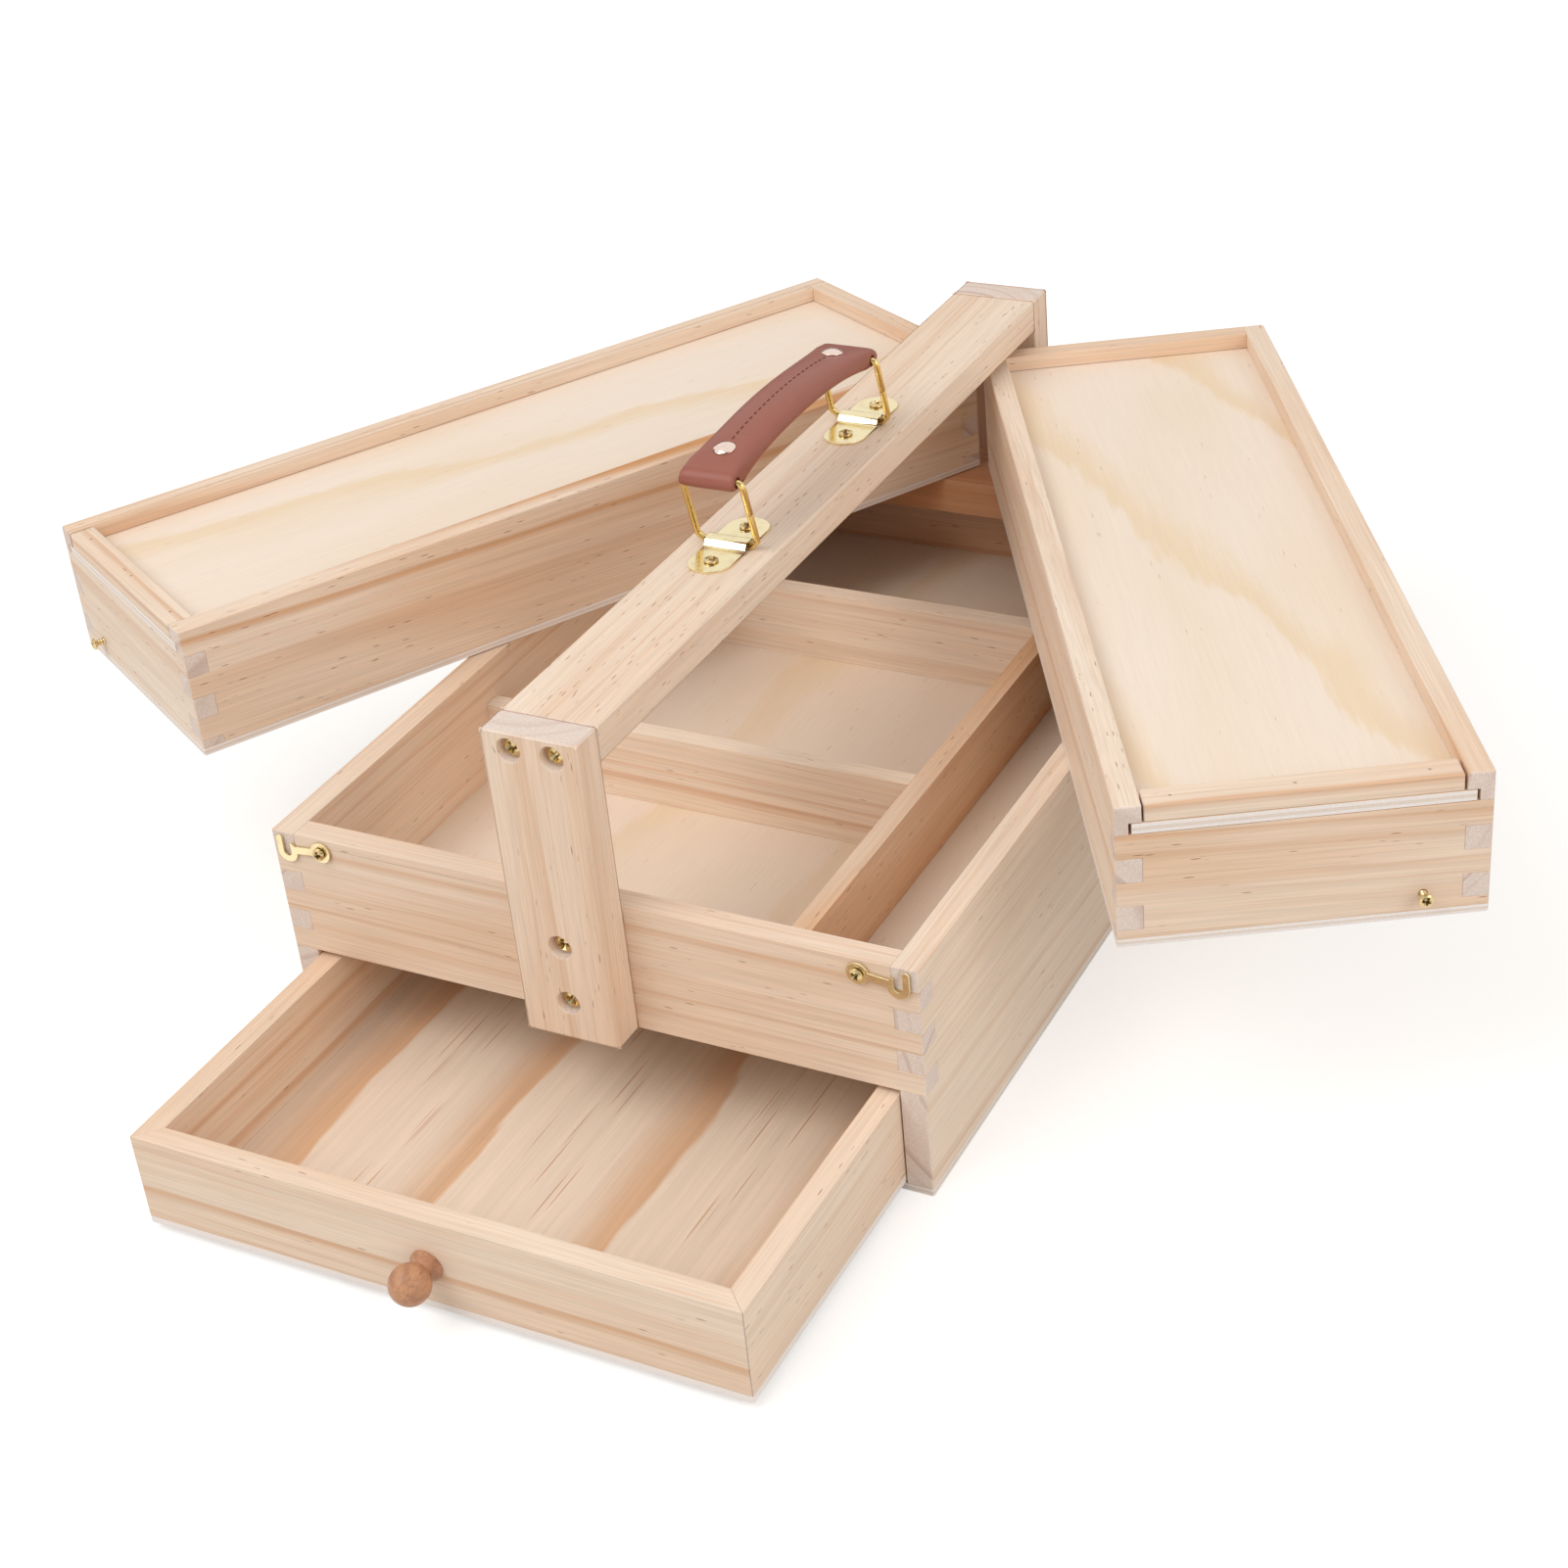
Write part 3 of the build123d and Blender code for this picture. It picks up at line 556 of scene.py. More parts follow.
def pine(name, centre, turn, pith, ring=5.0, bands=0.5, soft=0.2, wobble=7.0, marks=0.5, warm=0.15,
         deep=0.0, seed=0.0):
    """Radiata pine, planed and sanded: pale early wood, warm late wood that ends sharply, resin ducts.

    It gives the eye a soft matt board whose bands run on round the edges into the end grain,
    because the rings are one solid pattern. The fibres are drawn about 0.7 mm wide, coarser than
    the real ones, so that they show. pith is where the tree's middle lay, in millimetres across the
    board from its centre, and ring is the width of a year in millimetres.
    """
    material, colours, place, facing = board_material(name, centre, turn)
    part, chance = growth_rings(place, pith, ring, wobble, seed)
    late = part.band(0.62 - 0.5 * soft, 0.92 - 0.3 * soft, 0.93 - 0.25 * soft, 0.99)
    late = late * chance.step(0.0, 1.0, 0.15, 1.0)
    fibre = place.mottle(seed + 1, 40, 0.7)
    heart = place.mottle(seed + 5, 130, 26, 1.0).step(0.3, 0.72, 0.55 * warm, min(1.0, 0.12 + 1.35 * warm))
    base = heart.between(colours.pine_early, colours.pine_warm)
    base = base.mixed(late * bands, colours.pine_late).toned(fibre, 0.90, 1.03)
    streak = place.mottle(seed + 2, 150, 1.6).step(0.54, 0.74, 0.0, 0.26)
    # Painted shade: a board's share darkens it all over towards the shade colour
    base = base.mixed(streak, colours.pine_late).mixed(deep, colours.pine_painted_shade, "MULTIPLY")
    base = base.mixed(ducts(place, 8, 0.8, marks, seed + 4) * 0.8, colours.pine_duct)
    pore = place.mottle(seed + 6, 3, 0.8, 1.0).step(0.35, 0.65, 0.0, 0.45)
    sawn = pore.between(colours.pine_end, colours.end_pore).mixed(late * 0.6, colours.end_band)
    base = base.mixed(facing.part(0).math("ABSOLUTE").step(0.5, 0.85, 0.0, 0.85), sawn)
    return shade(material, base, 0.55, late * -0.5 + fibre, 0.06 * MM, Specular_IOR_Level=0.3)


def veneered(material, base, facing, edge, fibre):
    """Ends the material of a thin board: one look on its two faces, another on its edges."""
    base = base.mixed(facing.part(2).math("ABSOLUTE").step(0.35, 0.7, 1.0, 0.0), edge)
    return shade(material, base, 0.5, fibre, 0.04 * MM, Specular_IOR_Level=0.35)


def plywood(name, centre, turn, thickness, figure=0.5, lean=0.12, shift=0.0, dull=0.0, seed=0.0):
    """Rotary cut pine plywood, sanded: broad pale flames with feathered sides on the face, layered edges.

    It gives the eye a smooth pale sheet, a little yellower and duller than the solid boards round it.
    The flames stand 90 mm apart, and lean is how far they run off the grain.
    """
    material, colours, place, facing = board_material(name, centre, turn)
    flat = place.vector("MULTIPLY", (1, 1, 0))
    across = place.part(0) * lean + place.part(1)
    across = flat.mottle(seed, 110, 38, 1.0) * 45.0 + across
    across = flat.mottle(seed + 7, 22, 3.2) * 13.0 + across
    flame = (across * (1 / 90) + shift).math("FRACT").band(0.56, 0.76, 0.77, 0.83)
    fibre = place.mottle(seed + 1, 26, 0.8)
    cloud = flat.mottle(seed + 2, 150, 45, 1.0).step(0.35, 0.7, 0.0, 0.3)
    base = cloud.between(colours.ply_face, colours.ply_band).mixed(flame * figure, colours.ply_band)
    # Painted shade: a share given here darkens the whole sheet, as on the tray floor, for the shade of the
    # trays
    base = base.toned(fibre, 0.975 - dull, 1.01 - dull)
    base = base.mixed(ducts(place, 9, 0.9, 0.1, seed + 4) * 0.35, colours.pine_duct)
    core = place.part(2).math("ABSOLUTE").step(thickness / 6 - 0.1, thickness / 6 + 0.1, 1.0, 0.0)
    edge = (core * 0.6).between(colours.ply_edge, colours.ply_core).toned(fibre, 0.95, 1.02)
    return veneered(material, base, facing, edge, fibre)


def drawer_veneer(name, centre, turn, seed=0.0):
    """Pine veneer on the drawer's bottom: soft bands 65 mm apart with one sharp side, and hair lines."""
    material, colours, place, facing = board_material(name, centre, turn)
    flat = place.vector("MULTIPLY", (1, 1, 0))
    wavy = flat.mottle(seed, 150, 60, 1.0) * 22.0 + flat.part(1) * -1.0
    wavy = flat.mottle(seed + 7, 26, 5, 1.0) * 5.0 + wavy
    part = (wavy * (1 / 65) + 0.12).math("FRACT")
    base = (part.band(0.58, 0.93, 0.93, 0.965) * 0.68).between(colours.veneer_pale, colours.veneer_band)
    fibre = place.mottle(seed + 1, 40, 0.8)
    base = base.toned(fibre, 0.95, 1.02).toned(place.mottle(seed + 2, 200, 4.0), 0.95, 1.03)
    hair = flat.dashes(60, 1.3, 0.14, 0.30, 0.66) * part.band(0.12, 0.24, 0.46, 0.60)
    base = base.mixed(hair * 0.62, colours.veneer_hair)
    return veneered(material, base, facing, colours.ply_edge, fibre)


def knob_hardwood(centre):
    """Oiled beech, turned: a warm brown with fine short pores and a soft silky gloss."""
    material, colours, place, _ = board_material("oiled_beech", centre, board_turn("y"))
    base = place.mottle(3.0, 7, 3.2, 3.0).step(0.3, 0.72).between(colours.knob_light, colours.knob_cloud)
    pore = place.mottle(5.0, 2.6, 0.55)
    base = base.mixed(pore.step(0.52, 0.72, 0.0, 0.55), colours.knob_dark)
    return shade(material, base, 0.42, pore, 0.05 * MM, strength=0.3, Specular_IOR_Level=0.45)


def grain_leather():
    """Dyed, finished cowhide: fine pebbled pores, faint creases and an even wax gloss."""
    material, tree, colours = new_material("dyed_leather")
    place = millimetres(tree)
    soft = place.mottle(2.0, 9, 14, 3.0)
    crease = place.mottle(8.0, 7, 1.3, 3.0)
    base = soft.step(0.3, 0.7, 0.0, 0.22).between(colours.leather, colours.leather_worn)
    base = base.mixed(crease.step(0.60, 0.74, 0.0, 0.35), colours.leather_crease)
    inputs = {"Vector": place.drawn_out(0.8, 0.8), "Scale": 1.0}
    height = crease * -0.8 + place.add("TexVoronoi", inputs, "Distance") * 0.5
    rough = soft.step(0.3, 0.7, 0.36, 0.48)
    return shade(material, base, rough, height, 0.12 * MM, strength=0.35, Specular_IOR_Level=0.5)


def waxed_thread():
    """Waxed polyester thread: a dull dark red with a fine twist."""
    material, tree, colours = new_material("waxed_thread")
    inputs = {"Vector": object_place(tree), "Scale": 320.0, "Distortion": 1.0}
    twist = add(tree, "TexWave", inputs, "Fac")
    base = (twist * 0.4).between(colours.thread, colours.thread_twist)
    return shade(material, base, 0.6, twist, 0.05 * MM, strength=0.4)


def plated_metal(name, plating, low, high, wear, painted_recess_shade=None):
    """A polished, thinly plated metal: bright, with faint hairlines and slightly duller patches.

    plating names one of the colours; low and high are its least and its greatest roughness. Given a
    reach in metres, it paints shade into hollows such as a screw's cross: ambient occlusion darkens them.
    """
    material, tree, colours = new_material(name)
    place = millimetres(tree)
    patch = place.mottle(1.0, 5, 5, 3.0)
    hair = place.mottle(4.0, 9, 0.25)
    base = patch.step(0.5, 0.8, 0.0, 0.25).between(getattr(colours, plating), linear(wear))
    if painted_recess_shade:
        # Painted shade: hollows within the reach are darkened towards the near black
        light = add(tree, "AmbientOcclusion", {"Distance": painted_recess_shade}, "AO", samples=6, only_local=True)
        base = base.mixed(light.step(0.3, 0.75, 0.92, 0.0), colours.painted_recess_shade)
    rough = (hair * 0.3 + patch).step(0.4, 0.9, low, high)
    return shade(material, base, rough, hair, 0.01 * MM, strength=0.07, Metallic=1.0)


# Wooden boards

def sanded_board(node, material, rounded=False):
    sizes = bpy.context.scene.tool_box_sizes
    board = merged_copy(node, f"{node}_sanded")
    ease_edges(board, sizes.rounded_edge if rounded else sizes.sanded_edge)
    finish(board, material, [node], smooth=40, flats=True)


def middle_of(node):
    low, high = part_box(node)
    return (low + high) / 2


def pine_board(node, grain, seed, tilt=(0.0, 0.0), rounded=False, **figure):
    turn = board_turn(grain, swing_of(node), tilt)
    sanded_board(node, pine(f"pine_{node}", middle_of(node), turn, seed=seed, **figure), rounded=rounded)


def ply_panel(node, seed, **figure):
    low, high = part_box(node)
    thickness = (high.z - low.z) / MM
    turn = board_turn("y", swing_of(node))
    material = plywood(f"plywood_{node}", middle_of(node), turn, thickness, seed=seed, **figure)
    sanded_board(node, material)


class ToolBoxBase(bpy.types.Operator):
    """The four finger-jointed walls of the base, its cleat, its bottom and the floor of the trays"""
    bl_idname = "tool_box.base"
    bl_label = "Base"

    def execute(self, context):
        pine_board("base_front_wall", "x", 1, pith=(35, -75), ring=9.0, bands=0.4, tilt=(0.5, 0), marks=0.2)
        # Painted shade: the rear wall is darkened all over for the shade at the back of the box
        pine_board("base_rear_wall", "x", 12, pith=(-50, -60), ring=6.0, marks=0.3, warm=0.35, deep=0.3)
        pine_board("base_left_wall", "y", 23, pith=(45, 80), ring=8.0, bands=0.45, marks=0.3, warm=0.15)
        pine_board(
            "base_right_wall", "y", 34, pith=(-60, 20), ring=9.5, bands=0.32, tilt=(0.8, 0.4), marks=0.2,
            warm=0,
        )
        # Painted shade: the cleat is darkened all over for the shade at the back of the box
        pine_board("pivot_cleat", "x", 45, pith=(40, 30), ring=4.5, marks=0.2, warm=0.5, deep=0.45)
        ply_panel("base_bottom_panel", 56, figure=0.3)
        # Painted shade: the tray floor is darkened a little for the shade of the trays
        ply_panel("tray_floor", 67, figure=0.5, dull=0.05)
        return {"FINISHED"}


class ToolBoxDividers(bpy.types.Operator):
    """The long divider and the two cross dividers of the trays"""
    bl_idname = "tool_box.dividers"
    bl_label = "Dividers"

    def execute(self, context):
        pine_board("long_divider", "y", 78, pith=(60, -30), ring=7.0, bands=0.5, marks=0.8, warm=0.5)
        pine_board(
            "front_cross_divider", "x", 89, pith=(16, -52), ring=9.5, bands=0.55, soft=0.5, marks=0.1,
            tilt=(1.5, 0), warm=0,
        )
        pine_board(
            "rear_cross_divider", "x", 90, pith=(20, -58), ring=10.0, bands=0.5, soft=0.6, marks=0.2,
            tilt=(1.0, 0), warm=0,
        )
        return {"FINISHED"}


class ToolBoxHandleFrame(bpy.types.Operator):
    """The two posts and the rail that carry the handle"""
    bl_idname = "tool_box.handle_frame"
    bl_label = "Posts and rail"

    def execute(self, context):
        pine_board(
            "front_post", "z", 118, pith=(34, 16), ring=8.0, bands=0.8, wobble=3.0, marks=0.75, tilt=(0, 0.9),
            warm=0.1, rounded=True,
        )
        pine_board("rear_post", "z", 122, pith=(-30, 12), ring=5.5, wobble=4.0, warm=0.3, rounded=True)
        pine_board(
            "top_rail", "y", 133, pith=(50, 30), ring=6.5, bands=0.3, marks=1.0, tilt=(0, 0.8),
            warm=0.08, rounded=True,
        )
        return {"FINISHED"}


class ToolBoxSwingBoxes(bpy.types.Operator):
    """The walls and bottoms of the two swing boxes"""
    bl_idname = "tool_box.swing_boxes"
    bl_label = "Swing boxes"

    def execute(self, context):
        for side, name, bands, warm in ((-1, "left", 1.0, 0.2), (1, "right", 0.4, 0.0)):
            box = f"{name}_box"
            seed = 200 + 50 * side
            pine_board(
                f"{box}_inner_wall", "y", seed, pith=(side * 30, -34), ring=10.5, bands=bands, soft=0.45,
                wobble=9.0, marks=0.7, tilt=(1.8, 0), warm=warm,
            )
            pine_board(f"{box}_outer_wall", "y", seed + 7, pith=(side * 60, 40), ring=7.5)
            pine_board(
                f"{box}_front_wall", "x", seed + 13, pith=(30, -48), ring=9.0, bands=0.35, soft=0.4,
                marks=0.5, tilt=(1.0, 0), warm=0.14 + 0.14 * side,
            )
            pine_board(f"{box}_rear_wall", "x", seed + 19, pith=(40, 36), ring=6.5, warm=0.3)
            ply_panel(f"{box}_bottom_panel", seed + 25, figure=0.3)
        return {"FINISHED"}


class ToolBoxLids(bpy.types.Operator):
    """The two sliding lids: a plywood panel, a pine batten and three nails each"""
    bl_idname = "tool_box.lids"
    bl_label = "Sliding lids"

    def execute(self, context):
        steel = plated_metal("zinc_plated_steel", "steel", 0.3, 0.5, "#8E8A84")
        for side, name, lean in ((-1, "left", 0.18), (1, "right", -0.34)):
            lid = f"{name}_lid"
            ply_panel(f"{lid}_panel", 310 + side * 5, figure=0.7, lean=lean, shift=0.35)
            pine_board(
                f"{lid}_batten", "x", 330 + side * 5, pith=(-30, -50), ring=7.0, bands=0.6, marks=0.3
            )
            places = axes_of(f"{lid}_nails", (0, 0, 1))
            outline = [(NAIL_RADIUS, -places[0][1]), (NAIL_RADIUS, -0.1 * MM), (0.8 * NAIL_RADIUS, 0)]
            nail = turned("nail", outline, 12)
            nails = joined(f"{lid}_brads", copies(nail, [place for place, _ in places]))
            finish(nails, steel, [f"{lid}_nails"])
        return {"FINISHED"}


class ToolBoxDrawer(bpy.types.Operator):
    """The mitred boards of the drawer and its veneered bottom"""
    bl_idname = "tool_box.drawer"
    bl_label = "Drawer"

    def execute(self, context):
        pine_board(
            "drawer_front_board", "x", 401, pith=(30, -70), ring=9.5, bands=0.5, tilt=(0.7, 0), marks=0.1
        )
        pine_board("drawer_back_board", "x", 412, pith=(-40, -60), ring=6.0, warm=0.4)
        pine_board(
            "drawer_left_board", "y", 423, pith=(-26, -44), ring=11.0, bands=0.55, soft=0.7, marks=0.1,
            tilt=(1.0, 0), warm=0.3,
        )
        pine_board("drawer_right_board", "y", 434, pith=(48, -30), ring=8.0, bands=0.4, marks=0.8, warm=0.1)
        node = "drawer_bottom_panel"
        sanded_board(node, drawer_veneer("pine_veneer", middle_of(node), board_turn("y"), 445))
        return {"FINISHED"}


class ToolBoxKnob(bpy.types.Operator):
    """The turned knob of the drawer; the screw that holds it from inside is made with the other screws"""
    bl_idname = "tool_box.knob"
    bl_label = "Knob"

    def execute(self, context):
        low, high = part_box("drawer_knob")
        depth = high.y - low.y
        ball = (high.x - low.x) / 2
        flange = 0.84 * ball
        neck = 0.5 * ball
        meet = depth - ball - sqrt(ball * ball - neck * neck)
        edge = 0.085 * depth
        rise = 0.25 * edge
        outline = [(flange - rise, 0), (flange, rise), (flange, edge - rise), (flange - rise, edge)]
        for share in (0.2, 0.4, 0.6, 0.8):
            hollow = (1 - share) ** 2.4
            outline.append((neck + (flange - neck - rise) * hollow, edge + (meet - edge) * share))
        steps = 14
        start = asin(neck / ball)
        for i in range(steps + 1):
            angle = start + (pi - start) * i / steps
            outline.append((max(ball * sin(angle), 0.01 * MM), depth - ball - ball * cos(angle)))
        knob = turned("drawer_turned_knob", outline, 48)
        middle = Vector(((low.x + high.x) / 2, high.y, (low.z + high.z) / 2))
        knob.data.transform(Matrix.Translation(middle) @ Matrix.Rotation(pi / 2, 4, "X"))
        finish(knob, knob_hardwood(middle), ["drawer_knob"])
        return {"FINISHED"}


# Screws

def cross_head_screw(name, radius, height, shank, depth, thread=0.0):
    """A raised-head screw with a cross recess. Its head's top is at z = 0 and its point at z = -depth."""
    neck = -height
    point = 2 * shank
    outline = [(0.12 * shank, -depth), (shank * 0.55, point * 0.5 - depth), (shank, point - depth)]
    if thread:
        turns = int((depth - height - point) / thread)
        for i in range(turns):
            foot = point - depth + i * thread
            for share, width in ((0.1, 1.0), (0.5, 0.8), (0.9, 1.0)):
                outline.append((width * shank, foot + share * thread))
    outline += [(shank, neck), (radius * 0.94, neck), (radius, neck + 0.12 * height)]
    outline += dome(radius * 0.98, neck + 0.45 * height, 0)
    screw = turned(name, outline, 28)
    for turn in (0, pi / 2):
        blade = primitive(
            "cone", vertices=4, radius1=0.36 * radius, radius2=1.15 * radius, depth=0.9 * height,
            location=(0, 0, -0.42 * height), rotation=(0, 0, pi / 4),
        )
        settle(blade)
        blade.scale = (1, 0.36, 1)
        blade.rotation_euler = (0, 0, turn)
        settle(blade)
        cut(screw, blade)
    return screw


SCREWS = (
    # node, direction of the heads, head radius, head height, shank radius, turn of the recess
    ("front_post_screws", (0, -1, 0), 3.7, 2.2, 1.75, 20),
    ("rear_post_screws", (0, 1, 0), 3.7, 2.2, 1.75, 50),
    ("handle_plate_screws", (0, 0, 1), 2.8, 1.7, 1.35, 35),
    ("hook_screws", (0, -1, 0), 2.5, 1.7, 1.35, 10),
    ("knob_screw", (0, 1, 0), 3.5, 2.2, 1.75, 0),
)


class ToolBoxScrews(bpy.types.Operator):
    """Every cross-head screw of the box, the two catch screws with their thread among them"""
    bl_idname = "tool_box.screws"
    bl_label = "Screws"

    def execute(self, context):
        # The screws get painted shade in their cross recesses, reaching 1.5 mm
        brass = plated_metal("brass_plated_screws", "screw_brass", 0.16, 0.34, "#B98C4A", painted_recess_shade=1.5 * MM)
        rows = [(node, way, [size * MM for size in sizes], turn) for node, way, *sizes, turn in SCREWS]
        for side, name in SIDES:
            swing = radians(OPEN_ANGLE) * side
            way = (sin(swing), -cos(swing), 0)
            rows.append((f"{name}_catch_screw", way, [2.5 * MM, 1.7 * MM, 1.35 * MM], 15))
        for node, way, (radius, height, shank), turn in rows:
            thread = CATCH_PITCH if "catch" in node else 0.0
            places = {}
            for i, (place, depth) in enumerate(axes_of(node, way)):
                twist = Matrix.Rotation(radians(turn + 37 * i), 4, "Z")
                places.setdefault(round(depth, 5), []).append(place @ twist)
            made = []
            for depth, same in places.items():
                made += copies(cross_head_screw(node, radius, height, shank, depth, thread), same)
            finish(joined(f"{node}_cross_head", made), brass, [node])
        return {"FINISHED"}


class ToolBoxPivots(bpy.types.Operator):
    """The bolt, two washers and nut that each swing box turns on"""
    bl_idname = "tool_box.pivots"
    bl_label = "Pivots"

    def execute(self, context):
        steel = plated_metal("zinc_plated_bolts", "steel", 0.25, 0.45, "#8E8A84")
        places = axes_of("pivot_bolts", (0, 0, 1))
        bolt = cross_head_screw("pivot_bolt", 4.9 * MM, 2.6 * MM, 2.45 * MM, places[0][1], BOLT_PITCH)
        bolts = joined("pivot_machine_bolts", copies(bolt, [place for place, _ in places]))
        finish(bolts, steel, ["pivot_bolts"])
        for node, sides, outer, easing, name in (
            ("pivot_washers", 40, WASHER_RADIUS, 0.1 * MM, "pivot_plain_washers"),
            ("pivot_nuts", 6, NUT_RADIUS, 0.3 * MM, "pivot_hex_nuts"),
        ):
            made = []
            for place, thickness in axes_of(node, (0, 0, 1)):
                piece = primitive(
                    "cylinder", vertices=sides, radius=outer, depth=thickness, location=(0, 0, -thickness / 2)
                )
                cut(piece, primitive("cylinder", vertices=32, radius=BOLT_HOLE, depth=4 * outer))
                settle(piece)
                ease_edges(piece, easing)
                piece.data.transform(place)
                made.append(piece)
            finish(joined(name, made), steel, [node])
        return {"FINISHED"}


# Handle

def bent_wire(name, radius, start, runs, sides=16, steps=6):
    """A wire bent in the XZ plane: straight runs are extruded and bends spun, from a disc at one end.

    start is the first point; the wire sets out downwards. runs are lengths in turn with (angle, radius)
    of the bends, which all turn the same way, from down towards -X.
    """
    point = Vector(start)
    heading = -pi / 2
    piece = primitive("circle", name, vertices=sides, radius=radius, fill_type="NGON", location=point)
    settle(piece)
    edit_all(piece)
    for run in runs:
        way = Vector((cos(heading), 0, sin(heading)))
        if isinstance(run, tuple):
            angle, bend = run
            centre = point + Vector((sin(heading), 0, -cos(heading))) * bend
            bpy.ops.mesh.spin(steps=steps, angle=-angle, center=centre, axis=(0, 1, 0))
            point = centre + Matrix.Rotation(angle, 3, "Y") @ (point - centre)
            heading -= angle
        else:
            bpy.ops.mesh.extrude_region_move(TRANSFORM_OT_translate={"value": way * run})
            point = point + way * run
    object_mode()
    ends = [v.co for v in piece.data.vertices if v.select]
    if (sum(ends, Vector()) / len(ends) - point).length > 10 * MERGE:
        raise RuntimeError(f"{name}: the wire doesn't end where it should")
    seal(piece)
    return piece


class ToolBoxRings(bpy.types.Operator):
    """The two wire rings, each with the seam where the ends of its wire meet"""
    bl_idname = "tool_box.rings"
    bl_label = "Rings"

    def execute(self, context):
        sizes = context.scene.tool_box_sizes
        brass = plated_metal("gold_plated_wire", "ring_brass", 0.14, 0.3, "#B98A3C")
        radius = sizes.wire / 2
        for node, foot, bar in (("front_ring", FRONT_FOOT, FRONT_BAR), ("rear_ring", REAR_FOOT, REAR_BAR)):
            low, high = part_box(node)
            half = (high.x - low.x) / 2 - radius
            rise = bar - foot
            tall = hypot(rise.y, rise.z)
            seam = tall * SEAM_HEIGHT
            slant = radians(45)
            short = sizes.foot_bend * sin(slant / 2) / cos(slant / 2)
            leg = -sizes.foot - short
            slope = [(slant, sizes.foot_bend), sizes.foot / cos(slant) - 2 * short, (slant, sizes.foot_bend)]
            corner = (pi / 2, sizes.bend)
            runs = [
                seam + leg - WIRE_SEAM / 2, *slope, 2 * (half + leg), *slope, tall + leg - sizes.bend,
                corner, 2 * (half - sizes.bend), corner, tall - seam - sizes.bend - WIRE_SEAM / 2,
            ]
            wire = bent_wire(f"{node}_wire", radius, (half, 0, seam - WIRE_SEAM / 2), runs)
            ease_edges(wire, 0.15 * MM, angle=60)
            lean = Matrix.Rotation(-asin(rise.y / tall), 4, "X")
            wire.data.transform(Matrix.Translation(foot) @ lean)
            finish(wire, brass, [node], smooth=50)
        return {"FINISHED"}


class ToolBoxPlates(bpy.types.Operator):
    """The two pressed plates of the handle: obround, raised in the middle over the ring's lower bar"""
    bl_idname = "tool_box.plates"
    bl_label = "Handle plates"

    def execute(self, context):
        sizes = context.scene.tool_box_sizes
        brass = plated_metal("brass_plated_sheet", "brass", 0.12, 0.28, "#CFA65E")
        for node in ("front_handle_plate", "rear_handle_plate"):
            low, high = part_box(node)
            middle = (low + high) / 2
            width = high.x - low.x
            spread = (high.y - low.y - width) / 2
            plate = primitive(
                "cylinder", f"{node}_pressed", vertices=64, radius=width / 2, depth=sizes.sheet,
                location=(0, 0, sizes.sheet / 2),
            )
            settle(plate)
            edit_all(plate)
            for side in (-1, 1):
                select_edges(plate, lambda a, b: side * a.y > MERGE and side * b.y > MERGE)
                bpy.ops.transform.translate(value=(0, side * spread, 0))
            for y in (-PLATE_FOOT, -PLATE_CROWN, PLATE_CROWN, PLATE_FOOT):
                bpy.ops.mesh.select_all(action="SELECT")
                bpy.ops.mesh.bisect(plane_co=(0, y, 0), plane_no=(0, 1, 0))
            select_edges(plate, lambda a, b: max(abs(a.y), abs(b.y)) < PLATE_CROWN + MERGE)
            bpy.ops.transform.translate(value=(0, 0, sizes.saddle))
            select_edges(plate, lambda a, b: abs(a.y - b.y) < MERGE and abs(a.x - b.x) > 2 * MM)
            bpy.ops.mesh.bevel(offset=PLATE_BEND, offset_type="OFFSET", segments=4, affect="EDGES")
            object_mode()
            ease_edges(plate, 0.16 * MM, angle=60)
            plate.data.transform(Matrix.Translation((middle.x, middle.y, RAIL_TOP)))
            seal(plate)
            finish(plate, brass, [node], flats=True)
        return {"FINISHED"}


def grip_curve(rise, end):
    """The circle of the grip's top or underside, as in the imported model: its middle height and radius."""
    reach = rise - end
    middle = (reach * reach - BAR_REACH * BAR_REACH) / (2 * reach)
    return middle, rise - middle


GRIP_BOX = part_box("leather_grip")
GRIP_END = (GRIP_BOX[1].y - GRIP_BOX[0].y) / 2 - BAR_REACH - 0.03 * MM  # the radius of its packed ends
GRIP_TOP = grip_curve(GRIP_BOX[1].z - FRONT_BAR.z - 0.2 * MM, GRIP_END + GRIP_SWELL)
GRIP_LOW = grip_curve(0.8 * MM, -GRIP_END)


def grip_heights(y):
    """The grip's top and underside over the bars, at a place along it from its middle."""
    return [middle + sqrt(radius * radius - y * y) for middle, radius in (GRIP_TOP, GRIP_LOW)]


def on_grip(y):
    """The move of a model's origin to the grip's top, upright to it, at a place from its middle."""
    slope = asin(y / GRIP_TOP[1])
    place = BAR_MIDDLE + Vector((0, y, grip_heights(y)[0]))
    return Matrix.Translation(place) @ Matrix.Rotation(-slope, 4, "X")


